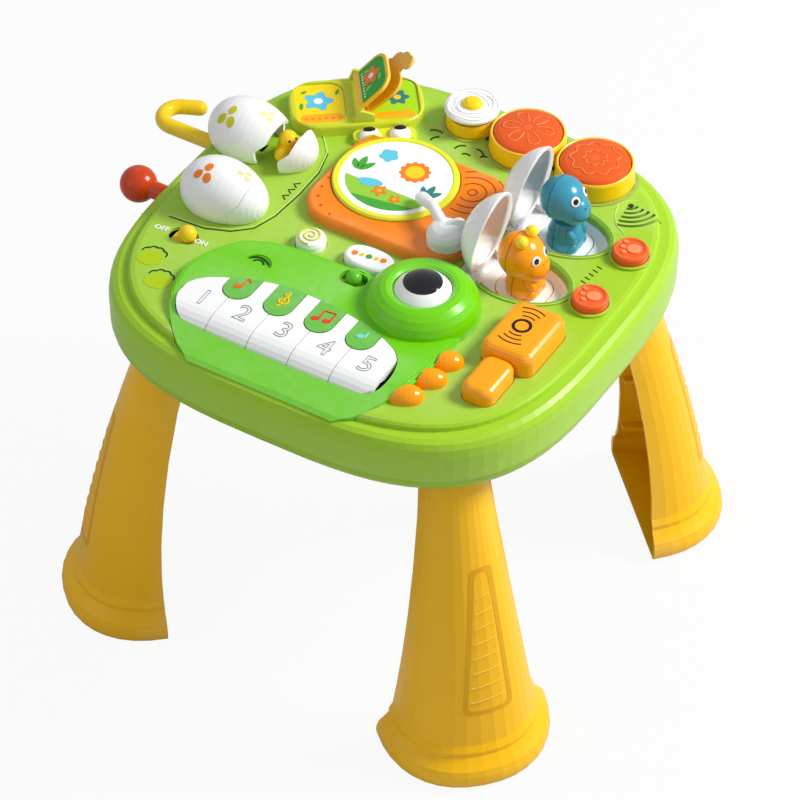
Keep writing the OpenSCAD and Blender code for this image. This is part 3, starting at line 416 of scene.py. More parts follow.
# A dark green line of painted shadow marks the step at the egg zone's edge; the pale lime line
# beside it is painted highlight.
beads("egg_zone_edge_shadow", [zone], 0.55, dark_ink_and_shadow, "top_shell")
beads("egg_zone_edge_highlight", [[(x - 1.2, y + 1.3) for x, y in zone]], 0.8, pale_lime_and_highlight, "top_shell")
for i, (x, y) in enumerate(((-146, -106), (-127, -125))):
    inlay(f"leaf_patch_{i + 1}", [oval(x, y - 1.5, 10.5, 8, 20)], 0.25, leaf_ink, "top_shell",
          cuts=1)
    tips = [(x + 8 * math.cos(math.radians(a)), y + 8 * math.sin(math.radians(a)), a)
            for a in (150, 115, 82, 48)]
    beads(f"leaf_tips_{i + 1}", [arc(tx, ty, 3.6, a - 62, a + 50, 8) for tx, ty, a in tips], 0.62,
          dark_ink_and_shadow, "top_shell")
    # Pale lime arcs just outside the dark tips are painted highlight.
    beads(f"leaf_painted_highlight_{i + 1}", [arc(tx, ty, 4.7, a - 60, a + 50, 8) for tx, ty, a in tips], 0.4,
          pale_lime_and_highlight, "top_shell")
letters("word_off", "OFF", -157.8, -75.4, DECK_Z + 0.3, 6.6, 9, white_ink)
letters("word_on", "ON", -123.6, -74.2, DECK_Z + 0.3, 6.6, 6, white_ink)
beads("push_arrows", [[(-97, y + 3), (-101, y), (-97, y - 3)] for y in (3, 11, 19)], 0.6, dark_ink_and_shadow,
      "top_shell", level=DECK_Z)
mark_middles = [(140 + 0.6 * i, 35 + 5 * i) for i in range(5)]
beads("press_marks", [[(x - 2.2, y), (x, y - 0.5), (x + 2.2, y - 1)] for x, y in mark_middles],
      0.55, dark_ink_and_shadow, "top_shell", level=DECK_Z)
blades = [(-12, 118, 7, 100), (-3, 118, 8, 20), (-7, 112, 5, 60), (8, 116, 6, 70),
          (-40, 122, 8, 60), (-34, 118, 6, 110)]
beads("grass_blades", [arc(x, y, r, a, a + 80, 6) for x, y, r, a in blades], 0.75, dark_ink_and_shadow,
      "top_shell")


def superellipse(x, y, rx, ry, power=2.5, n=72, point=0.0):
    """A rounded, nearly egg-shaped closed line; point draws one end in."""
    def part(v):
        return math.copysign(abs(v) ** (2 / power), v)
    steps = [2 * math.pi * i / n for i in range(n)]
    return [(x + rx * part(math.cos(t)), y + ry * part(math.sin(t)) * (1 - point * math.cos(t)))
            for t in steps]


# An olive seat ring lies under each drum, and a fine border and a dot frame the
# speaker's slots.

seat_olive = plastic("seat_olive_plastic", (150, 172, 34))
DRUMS = {"egg": (-23, 151), "citrus": (28, 148), "donut": (89, 143)}  # their middles, in mm
for name, r in (("egg", 20.4), ("citrus", 30), ("donut", 30.7)):
    x, y = DRUMS[name]
    ribbon(f"{name}_seat_ring", oval(x, y, r + 3.4, n=72), oval(x, y, r + 0.7, n=72), 0.8,
           seat_olive, "top_shell")
beads("grille_border",
      [[(119, 125), (124, 132), (131, 137)], [(119, 125), (123, 113), (130, 103), (140, 97)]], 0.5,
      pale_lime_and_highlight, "top_shell", level=DECK_Z)
inlay("grille_dot", [oval(128.4, 128.4, 2.2)], 0.3, dark_ink_and_shadow, "top_shell", level=DECK_Z)

# ---- Legs --------------------------------------------------------------------
# Four tapering blow-moulded legs with flared feet, plugged into sockets under the
# case. Each outer face carries eight finger ridges and a border drawn as a thin darker
# band, painted shade where a recessed groove lies.

yellow = plastic("yellow_plastic", (250, 190, 0), gloss=0.34)
# A darker yellow band is painted shade, standing where the border's recessed groove lies.
leg_groove_shade = plastic("leg_groove_painted_shade", (226, 166, 0), gloss=0.5, edge_wear_sheen=0.0)
dress(yellow, "front_right_leg", "front_left_leg", "back_right_leg", "back_left_leg")


PANEL_FOOT, PANEL_HEAD, PANEL_LOW, PANEL_HIGH = 20, 8.5, 62, 184  # half widths, then heights


def leg_panel(inset):
    """The tall border on a leg's outer face, wider at the foot, as (sideways, up) in mm."""
    foot, head = PANEL_FOOT - inset, PANEL_HEAD - inset
    low, high = PANEL_LOW + inset, PANEL_HIGH - inset
    corners = [(-foot, low), (foot, low), (head, high), (-head, high)]
    points = []
    for i, (x, y) in enumerate(corners):
        (px, py), (nx, ny) = corners[i - 1], corners[(i + 1) % 4]
        r = 6 if i < 2 else 5
        a, b = math.hypot(px - x, py - y), math.hypot(nx - x, ny - y)
        start = (x + (px - x) * r / a, y + (py - y) * r / a)
        end = (x + (nx - x) * r / b, y + (ny - y) * r / b)
        for k in range(7):
            t = k / 6
            points.append(((1 - t) ** 2 * start[0] + 2 * t * (1 - t) * x + t * t * end[0],
                           (1 - t) ** 2 * start[1] + 2 * t * (1 - t) * y + t * t * end[1]))
        for k in range(1, 8):
            s = (nx + (x - nx) * 6 / b, ny + (y - ny) * 6 / b)
            points.append((end[0] + (s[0] - end[0]) * k / 8, end[1] + (s[1] - end[1]) * k / 8))
    return points


for leg, turn, side in (("front_right_leg", -44, 1), ("front_left_leg", -136, -1),
                        ("back_right_leg", 44, -1), ("back_left_leg", 136, 1)):
    shift = 7 * side
    outer, inner = ([(x + shift, z) for x, z in leg_panel(i)] for i in (0, 3.6))
    ribbon(f"{leg}_border", outer, inner, 0.25, leg_groove_shade, leg, axis="X", spot=(2, -4, 0),
           turn=turn)
    ridges = []
    for k in range(8):
        z = 74 + 12.4 * k
        taper = (PANEL_FOOT - PANEL_HEAD) * (z - PANEL_LOW) / (PANEL_HIGH - PANEL_LOW)
        half = PANEL_FOOT - taper - 5.4
        ridges.append([(shift + half * t / 4, z + 1.2 * side * t / 4 + 0.5 * (1 - abs(t) / 4))
                       for t in range(-4, 5)])
    beads(f"{leg}_ridges", ridges, 0.75, yellow, leg, axis="X", spot=(2, -4, 0), turn=turn)

# ---- Crocodile head and toes ---------------------------------------------------
# One glossy green cover rolls down over the table's front edge and carries the hollow
# eye. The closed eye is two creases, each laid with a dark green line; the toes are three orange
# knobs.

green = plastic("croc_green_plastic", (112, 206, 8), gloss=0.24, coat=0.2)
dress(green, "head_cover")
crease = plastic("dark_crease_line", (18, 84, 4), gloss=0.4, edge_wear_sheen=0.0)
beads("closed_eye_lashes", [arc(-70, -83, 10, 32, 148), arc(-70, -80, 5.2, 28, 152, 8)], 1.1,
      crease, "head_cover")
amber = plastic("amber_plastic", (255, 160, 0), gloss=0.22, coat=0.25)
dress(amber, "toe_claws")
knob_green = plastic("knob_green_plastic", (96, 186, 22), gloss=0.3)
dress(knob_green, "mode_knob")
dress(plastic("switch_yellow_plastic", (246, 206, 20), gloss=0.28), "power_knob")

# ---- Keys ----------------------------------------------------------------------
# Five wide white keys and four green note keys hang on one steel shaft. Numbers stand
# on the white fronts as fine grey outlines, painted shade along the edges of raised numbers,
# and a coloured music sign lies on each note key.

ivory = plastic("white_plastic", (246, 246, 246), gloss=0.24, flow_marks=0.03, edge_wear_sheen=0.1)
dress(ivory, "key_1", "key_2", "key_3", "key_4", "key_5")
note_green = plastic("note_key_plastic", (92, 186, 40), gloss=0.3)
dress(note_green, "note_key_1", "note_key_2", "note_key_3", "note_key_4")
# The grey outlines are painted shade, standing for the shaded edges of raised numbers.
number_edge_shade = plastic("number_painted_edge_shade", (150, 154, 160), gloss=0.5, edge_wear_sheen=0.0)
NUMBER_Y, NUMBER_SIZE, ABOVE_KEYS = -132, 23, 380
for k, x in enumerate((-83, -49, -14, 21, 56)):
    clear_selection()
    bpy.ops.object.text_add(location=at(x, NUMBER_Y, ABOVE_KEYS))
    number = bpy.context.object
    number.name = f"key_number_{k + 1}"
    number.data.body, number.data.size = str(k + 1), NUMBER_SIZE * MM
    number.data.fill_mode = "NONE"
    number.data.align_x, number.data.align_y = "CENTER", "CENTER"
    bpy.ops.object.convert(target="MESH")
    number = bpy.context.object
    press_onto(number, f"key_{k + 1}", "Z")
    rounded_line(number, 0.42, number_edge_shade, f"key_{k + 1}")

NOTE_Y = -104  # the middle of the signs on the note keys
NOTE_SIGNS = [
    (1, -66.5, (236, 112, 16), [oval(-1.6, -5, 3.2, 2.3, 20)],
     [(1, -4.6), (1, 5.8), (3, 5), (5, 3)]),
    (3, 3.5, (232, 66, 30), [oval(-5, -5.4, 3, 2.2, 20), oval(3.8, -4.2, 3, 2.2, 20)],
     [(-2.6, -5), (-2.6, 4.8), (6.2, 6), (6.2, -3.8)]),
    (4, 38.5, (120, 216, 196), [oval(-1.4, -5, 3.4, 2.5, 20)], [(1.4, -4.6), (1.4, 1), (1.4, 7)])]
for k, x, colour, heads, stem in NOTE_SIGNS:
    key = f"note_key_{k}"
    ink = plastic(f"{key}_ink", colour, gloss=0.4, edge_wear_sheen=0.0)
    inlay(f"{key}_heads", [[(x + px, NOTE_Y + py) for px, py in shape] for shape in heads], 0.4,
          ink, key, key, cuts=1)
    beads(f"{key}_stem", [[(x + px, NOTE_Y + py) for px, py in stem]], 0.8, ink, key, key)
gold_ink = plastic("note_key_2_ink", (250, 206, 0), gloss=0.4, edge_wear_sheen=0.0)
curl = [(-31.5 + (0.8 + 0.0098 * a) * math.cos(math.radians(a)),
         -106 + (0.8 + 0.0098 * a) * math.sin(math.radians(a))) for a in range(0, 451, 30)]
clef = curl + [(-33.4, -99), (-30.6, -95.4), (-30.2, -98.4), (-31.4, -104), (-31, -111),
               (-33, -112.6)]
beads("note_key_2_sign", [clef], 0.75, gold_ink, "note_key_2", "note_key_2")

# ---- Rolling eye ---------------------------------------------------------------
# A white ball turns on a cross axle inside the hollow eye; its pupil is a glossy black
# disc pressed into the front.

dress(plastic("eyeball_white_plastic", (242, 242, 242), gloss=0.12, flow_marks=0.02, edge_wear_sheen=0.0,
              coat=0.5), "eyeball")
dress(plastic("pupil_black_plastic", (12, 12, 16), gloss=0.08, edge_wear_sheen=0.0, coat=0.6), "pupil")

# ---- Record player -------------------------------------------------------------
# An orange plate with wave rings and seed dimples, a yellow-rimmed disc that spins on
# a white printed label, and a white pick-up arm. The label's picture is a plain sunny hill.

plate_orange = plastic("plate_orange_plastic", (248, 134, 0), gloss=0.28)
dress(plate_orange, "record_plate")
dress(plastic("record_yellow_plastic", (232, 236, 24), gloss=0.25), "record_disc")
deep_orange = plastic("deep_orange_ink", (196, 82, 0), gloss=0.4, edge_wear_sheen=0.0)
seeds = [(-75.7, 18.6), (-72.5, 7.8), (-65, -0.3), (-54, -5.4), (-77, 30), (-30, 90.5), (-16, 92),
         (-44, 89)]
inlay("plate_seeds", [oval(x, y, 1.2, n=12) for x, y in seeds], 0.2, deep_orange, "record_plate")
CX, CY = -32.4, 53.9  # the record's middle
ARM_X, ARM_Y = 36, 12  # the pick-up arm's pivot
rings = []
for r in (3.4, 10.5, 17.6, 24.4):
    run = []
    for x, y in arc(24.4, 70.9, r, 0, 360, 60):
        off_record = math.hypot(x - CX, y - CY) > 51.5
        off_arm = math.hypot(x - ARM_X, y - ARM_Y) > 22
        if off_record and off_arm and x < 49 and y < 93.5:
            run.append((x, y))
        elif run:
            rings.append(run)
            run = []
    rings.append(run)
beads("plate_wave_rings", [run for run in rings if len(run) > 3], 0.55, deep_orange, "record_plate")

label_white = plastic("label_white_print", (248, 249, 250), gloss=0.4, flow_marks=0.02, edge_wear_sheen=0.0)
inlay("record_label", [oval(CX, CY, 43, n=72)], 0.15, label_white, "record_disc", "record_disc")


def wavy(x, y, r, lobes, depth, n=96, start=0.0):
    """A closed line round a middle point with soft lobes, for flowers, clouds and splashes."""
    steps = [2 * math.pi * i / n for i in range(n)]
    return [(x + r * (1 + depth * math.cos(lobes * (t - start))) * math.cos(t),
             y + r * (1 + depth * math.cos(lobes * (t - start))) * math.sin(t)) for t in steps]


def leaf(x, y, length, width, turn):
    """A pointed leaf that starts at a point and grows away from it."""
    c, s = math.cos(math.radians(turn)), math.sin(math.radians(turn))
    side = [(length * k / 8, width / 2 * math.sin(math.pi * k / 8) ** 0.8) for k in range(0, 9)]
    whole = [(px, -py) for px, py in side] + side[-2:0:-1]
    return [(x + px * c - py * s, y + px * s + py * c) for px, py in whole]


print_colours = {
    "green": plastic("print_green", (70, 168, 50), gloss=0.45, edge_wear_sheen=0.0),
    "lime": plastic("print_lime", (150, 206, 60), gloss=0.45, edge_wear_sheen=0.0),
    "orange": plastic("print_orange", (246, 128, 30), gloss=0.45, edge_wear_sheen=0.0),
    "sky": plastic("print_sky", (96, 200, 226), gloss=0.45, edge_wear_sheen=0.0),
    "yellow": plastic("print_yellow", (252, 208, 30), gloss=0.45, edge_wear_sheen=0.0),
    "teal": plastic("print_teal", (46, 130, 126), gloss=0.45, edge_wear_sheen=0.0)}
label_art = [
    ("hill", "lime",
     [[(CX + 38 * math.cos(math.radians(a)), CY - 2 + 36 * math.sin(math.radians(a)))
       for a in range(200, 341, 10)]]),
    ("slope", "green",
     [[(CX + 37 * math.cos(math.radians(a)), CY - 4 + 34 * math.sin(math.radians(a)))
       for a in range(236, 331, 8)]]),
    ("sun", "orange", [wavy(CX + 9, CY + 13, 11.5, 12, 0.07)]),
    ("sun_middle", "yellow", [oval(CX + 9, CY + 13, 7.4)]),
    ("pond", "sky", [oval(CX - 14, CY - 14, 10, 4.6, 12)]),
    ("cloud", "sky", [wavy(CX - 18, CY + 20, 7, 5, 0.12)]),
    ("left_leaves", "green",
     [leaf(CX - 30, CY - 6, 17, 6, 96), leaf(CX - 29, CY - 6, 15, 5.4, 62),
      leaf(CX - 31, CY - 6, 13, 5, 128)]),
    ("right_leaves", "teal",
     [leaf(CX + 30, CY - 8, 15, 5.4, 88), leaf(CX + 31, CY - 8, 13, 5, 52),
      leaf(CX + 29, CY - 8, 12, 4.6, 122)]),
    ("petals", "orange", [wavy(CX - 3, CY - 19, 5, 5, 0.3), wavy(CX + 12, CY - 22, 4, 5, 0.3)]),
    ("flower_middles", "yellow", [oval(CX - 3, CY - 19, 1.8), oval(CX + 12, CY - 22, 1.4)])]
for layer, (name, colour, shapes) in enumerate(label_art):
    inlay(f"label_{name}", shapes, 0.2 + 0.035 * layer, print_colours[colour], "record_disc",
          "record_disc")

arm_white = plastic("arm_white_plastic", (240, 240, 242), gloss=0.2, flow_marks=0.03, edge_wear_sheen=0.1)
dress(arm_white, "tonearm")

# ---- Deck buttons ----------------------------------------------------------------
# Four sprung pushes: a white snail shell with a moulded curl, a white oval with plain
# coloured beads, an orange hammer with inked sound rings, and two red paw pads whose
# raised pads are a lighter orange, painted highlight.

dress(ivory, "snail_button", "oval_button")
curl_yellow = plastic("curl_yellow_plastic", (214, 218, 60), gloss=0.3)
curl = []
for a in range(0, 811, 18):
    grown, way = 1.0 + 0.0104 * a, math.radians(a + 200)
    curl.append((-53 + grown * math.cos(way), -33 + grown * math.sin(way)))
beads("snail_curl", [curl], 0.95, curl_yellow, "snail_button", "snail_button")
bead_row = [("orange", 2.4), ("yellow", 1.8), ("green", 2.4), ("yellow", 1.8), ("orange", 2.4)]
for i, (colour, r) in enumerate(bead_row):
    along = 6 * i - 12
    inlay(f"oval_bead_{i + 1}", [oval(-4 + along * 0.95, -30.6 + along * 0.12, r)], 0.4,
          print_colours[colour], "oval_button", "oval_button")

hammer_orange = plastic("hammer_orange_plastic", (255, 164, 0), gloss=0.2, coat=0.3)
dress(hammer_orange, "hammer_button")
ink_black = plastic("ink_black", (30, 18, 6), gloss=0.4, edge_wear_sheen=0.0)
HAMMER_X, HAMMER_Y = 135.2, -47.9
ribbon("hammer_ring", oval(HAMMER_X, HAMMER_Y, 7.4, n=48), oval(HAMMER_X, HAMMER_Y, 5.2, n=48),
       0.25, ink_black, "hammer_button", "hammer_button")
waves = [arc(HAMMER_X, HAMMER_Y, r, mid - 28, mid + 28, 10) for mid in (90, 270)
         for r in (10.8, 15.2, 19.8)]
beads("hammer_waves", waves, 0.5, ink_black, "hammer_button", "hammer_button")

paw_red = plastic("paw_red_plastic", (240, 96, 34), gloss=0.26)
# The pads' lighter orange is painted highlight on the raised pads.
paw_pad_highlight = plastic("paw_pad_painted_highlight", (255, 140, 84), gloss=0.3)
dress(paw_red, "near_paw_button", "far_paw_button")
NEST_YS = {"orange": 16, "blue": 77}  # each paw button lies beside a nest
for name, y in (("near_paw", NEST_YS["orange"]), ("far_paw", NEST_YS["blue"])):
    button = f"{name}_button"
    inlay(f"{name}_pads",
          [oval(158.6, y + 1, 5.4, 4.8, 20), oval(149.4, y + 5.4, 2, 1.7),
           oval(150, y - 0.6, 2, 1.7), oval(153.4, y - 5.6, 2, 1.7)],
          0.9, paw_pad_highlight, button, button, cuts=1)

# ---- Sliding eggs ----------------------------------------------------------------
# Two half eggs lie in the left zone. The left part of each slides out on a track and
# is pulled by a red ball or a yellow hook; a chick sits in the shell behind.

shell_white = plastic("eggshell_plastic", (246, 246, 246), gloss=0.22, flow_marks=0.02, edge_wear_sheen=0.08)
dress(shell_white, "front_egg_end", "front_egg_slider", "rear_egg_end", "rear_egg_slider")
chick_yellow = plastic("chick_yellow_plastic", (252, 206, 0), gloss=0.3)
dress(chick_yellow, "front_chick", "rear_chick")
dress(plastic("hook_yellow_plastic", (246, 208, 12), gloss=0.22, coat=0.25), "hook_handle")
dress(plastic("ball_red_plastic", (204, 62, 6), gloss=0.24, coat=0.2), "ball_handle")


def trefoil(x, y, spread, size):
    return [oval(x + spread * math.cos(math.radians(a)), y + spread * math.sin(math.radians(a)),
                 size * 1.15, size, a, 18) for a in (80, 200, 320)]


spot_orange = plastic("spot_orange_ink", (240, 130, 24), gloss=0.35, edge_wear_sheen=0.0)
spot_pale = plastic("spot_pale_ink", (252, 216, 150), gloss=0.35, edge_wear_sheen=0.0)
spot_lime = plastic("spot_lime_ink", (206, 204, 34), gloss=0.35, edge_wear_sheen=0.0)
spot_faint = plastic("spot_faint_ink", (236, 238, 158), gloss=0.35, edge_wear_sheen=0.0)
for egg, x, y, big, small in (("front", -142.5, -38, spot_orange, spot_pale),
                              ("rear", -165.3, 28.9, spot_lime, spot_faint)):
    node = f"{egg}_egg_slider"
    inlay(f"{egg}_egg_spots", trefoil(x, y, 5, 3.2), 0.25, big, node, f"{egg}_egg", cuts=2)
    inlay(f"{egg}_egg_small_spots", trefoil(x + 26.5, y + 14.5, 3.6, 2.2), 0.2, small, node,
          f"{egg}_egg", cuts=2)


def turned(name, profile, sides=32):
    """A form turned about its own upright axis: (radius, height) in mm from the bottom up."""
    r, z = profile[0]
    o = start_outline(name, [(px, py, z) for px, py in oval(0, 0, max(r, 0.02), n=sides)])
    bpy.ops.object.mode_set(mode="EDIT")
    bpy.ops.mesh.select_all(action="SELECT")
    if r > 0.05:
        bpy.ops.mesh.edge_face_add()
        bpy.ops.mesh.select_all(action="SELECT")
    for r2, z2 in profile[1:]:
        bpy.ops.mesh.extrude_region_move(TRANSFORM_OT_translate={"value": (0, 0, (z2 - z) * MM)})
        k = max(r2, 0.02) / max(r, 0.02)
        bpy.ops.transform.resize(value=(k, k, 1), center_override=(0, 0, 0))
        r, z = r2, z2
    bpy.ops.mesh.select_all(action="SELECT")
    bpy.ops.mesh.remove_doubles(threshold=0.00002)
    bpy.ops.mesh.normals_make_consistent(inside=False)
    bpy.ops.object.mode_set(mode="OBJECT")
    return o


def stud(name, spot, facing, profile, material, body, sides=32):
    """A small turned form set into a surface, facing the given way."""
    o = turned(name, profile, sides)
    o.location = at(*spot)
    o.rotation_mode = "QUATERNION"
    o.rotation_quaternion = Vector(facing).to_track_quat("Z", "Y")
    return set_down(o, material, body)


def on_ball(middle, r, facing):
    d = Vector(facing).normalized() * r
    return (middle[0] + d.x, middle[1] + d.y, middle[2] + d.z)


beak_orange = plastic("beak_orange_plastic", (240, 128, 8), gloss=0.3)
gloss_black = plastic("eye_black_paint", (14, 12, 12), gloss=0.12, edge_wear_sheen=0.0, coat=0.5)
for chick, y in (("front", -27), ("rear", 43)):
    node, head = f"{chick}_chick", (-121, y, 329.3)
    stud(f"{node}_beak", on_ball(head, 6.9, (0.86, -0.42, 0.05)), (0.86, -0.42, 0.05),
         [(2.3, 0), (2.2, 0.6), (1.3, 2), (0.3, 3)], beak_orange, "table")
    for i, way in enumerate(((0.62, -0.72, 0.42), (0.92, 0.1, 0.42))):
        stud(f"{node}_eye_{i + 1}", on_ball(head, 7.0, way), way,
             [(1.2, 0), (1.1, 0.3), (0.7, 0.6), (0.1, 0.7)], gloss_black, "table", 20)

# ---- Cups and drums --------------------------------------------------------------
# Three sprung drums stand in golden cups: a fried egg, a citrus slice and a ring of
# dough. Their patterns are moulded as fine raised lines; on the red caps the lines are
# a lighter orange, painted highlight.

cup_gold = plastic("cup_gold_plastic", (255, 206, 8), gloss=0.26)
dress(cup_gold, "egg_cup", "citrus_cup", "donut_cup")
drum_red = plastic("drum_red_plastic", (228, 90, 24), gloss=0.28)
# A lighter orange on the caps' raised lines is painted highlight.
drum_ridge_highlight = plastic("drum_ridge_painted_highlight", (246, 124, 56), gloss=0.35)
dress(drum_red, "citrus_cap", "donut_cap")
dress(shell_white, "egg_white")
dress(plastic("yolk_yellow_plastic", (246, 214, 8), gloss=0.2, coat=0.3), "egg_yolk")
segments = []
for a in range(15, 375, 60):
    tip = [(6.5, -2.2), (11, -3.6), (15.5, -4.3), (18.4, -3.4), (19.6, 0), (18.4, 3.4), (15.5, 4.3),
           (11, 3.6), (6.5, 2.2)]
    c, s = math.cos(math.radians(a)), math.sin(math.radians(a))
    segments.append([(DRUMS["citrus"][0] + px * c - py * s, DRUMS["citrus"][1] + px * s + py * c)
                     for px, py in tip])
beads("citrus_segments", segments, 0.55, drum_ridge_highlight, "citrus_cap", "citrus_drum")
beads("dough_outer_wave", [wavy(*DRUMS["donut"], 18, 9, 0.09)], 0.6, drum_ridge_highlight, "donut_cap",
      "donut_drum", closed=True)
beads("dough_inner_wave", [wavy(*DRUMS["donut"], 8.6, 9, 0.12, 72, 0.2)], 0.55, drum_ridge_highlight,
      "donut_cap", "donut_drum", closed=True)
egg_line = plastic("egg_line_plastic", (214, 216, 220), gloss=0.3)
beads("fried_egg_waves",
      [wavy(-23, 151, 19.2, 5, 0.03, 72, 0.3), wavy(-22.6, 150.6, 15.6, 4, 0.06, 60, 0.9),
       wavy(-22, 150.6, 12, 3, 0.07, 48)],
      0.4, egg_line, "egg_white", "egg_drum", closed=True)

# ---- Nests, half-egg lids and pop-up dinosaurs -------------------------------------
# White trays are let into the deck, each inside a lime collar with a pale lip. Each lid is
# half an egg on two hinge pins, with a thick wavy lip and an inside tinted as a painted
# reflection of its dinosaur; its dinosaur stands on a floor that sinks with it.

dress(ivory, "blue_nest", "orange_nest")
dress(shell_white, "blue_lid", "orange_lid")
teal = plastic("dino_teal_plastic", (58, 148, 174), gloss=0.26, coat=0.2)
dino_orange = plastic("dino_orange_plastic", (255, 160, 6), gloss=0.26, coat=0.2)
dress(teal, "blue_dino")
dress(dino_orange, "orange_dino")
# Each lid's tinted inside is a painted reflection of its dinosaur: grey-blue for the blue one, pink
# for the orange one.
painted_reflections = {"blue": plastic("lid_painted_blue_reflection", (196, 208, 216), gloss=0.35, edge_wear_sheen=0.0),
         "orange": plastic("lid_painted_orange_reflection", (236, 214, 204), gloss=0.35, edge_wear_sheen=0.0)}
seam_teal = plastic("seam_teal", (24, 92, 112), gloss=0.5, edge_wear_sheen=0.0)
seam_orange = plastic("seam_orange", (206, 96, 0), gloss=0.5, edge_wear_sheen=0.0)
horn_yellow = plastic("horn_yellow_plastic", (252, 220, 20), gloss=0.2, coat=0.3)
collar_lime = plastic("collar_lime_plastic", (122, 178, 18), gloss=0.3)
NEST_X, NEST_HALF_X, NEST_HALF_Y, NEST_POINT = 100, 38, 27, 0.1


def nest_outline(y, grow, degrees):
    """The egg-shaped edge of a nest, grown by some mm, at the given turns about its middle."""
    turns = [math.radians(a) for a in degrees]
    return [(NEST_X + (NEST_HALF_X + grow) * math.cos(t),
             y + (NEST_HALF_Y + grow) * math.sin(t) * (1 - NEST_POINT * math.cos(t)))
            for t in turns]


# The collar's section: how far it stands out from the nest's edge, and its height
COLLAR = [(2.9, 310.9), (2.9, 311.5), (2.5, 311.9), (-0.3, 311.9), (-1.9, 310.9), (-2.8, 306),
          (-1.9, 305.4), (2.9, 310.9)]
for name in ("blue", "orange"):
    y = NEST_YS[name]
    grow, z = COLLAR[0]
    collar = start_outline(f"{name}_nest_collar",
                           [(px, py, z) for px, py in nest_outline(y, grow, range(0, 360, 5))])
    bpy.ops.object.mode_set(mode="EDIT")
    bpy.ops.mesh.select_all(action="SELECT")
    for grow2, z2 in COLLAR[1:]:
        bpy.ops.mesh.extrude_region_move(TRANSFORM_OT_translate={"value": (0, 0, (z2 - z) * MM)})
        bpy.ops.transform.resize(value=((NEST_HALF_X + grow2) / (NEST_HALF_X + grow),
                                        (NEST_HALF_Y + grow2) / (NEST_HALF_Y + grow), 1),
                                 center_override=(NEST_X * MM, y * MM, 0))
        grow, z = grow2, z2
    bpy.ops.mesh.select_all(action="SELECT")
    bpy.ops.mesh.remove_doubles(threshold=0.00002)
    bpy.ops.mesh.bisect(plane_co=(76 * MM, 0, 0), plane_no=(1, 0, 0), use_fill=True,
                        clear_inner=True)
    bpy.ops.mesh.select_all(action="SELECT")
    bpy.ops.mesh.normals_make_consistent(inside=False)
    bpy.ops.object.mode_set(mode="OBJECT")
    collar.location = at(0, 0, 0)
    set_down(collar, collar_lime, "table")
    beads(f"{name}_nest_lip", [nest_outline(y, 1.9, range(-125, 126, 5))], 0.5, pale_lime_and_highlight,
          "top_shell", level=311.8)

LID_HINGE_X, LID_HINGE_Z, LID_SWING, LID_WALL = 67.5, 312.4, -80, 2.8
NEST_FLOOR_Z = 301


def hang_on_lid(o, y, material, body, smooth=40):
    """Swings a form drawn for the closed lid, from its hinge, back to where the lid stands."""
    o.location = at(LID_HINGE_X, y, LID_HINGE_Z)
    o.rotation_euler = (0, math.radians(LID_SWING), 0)
    return set_down(o, material, body, smooth)


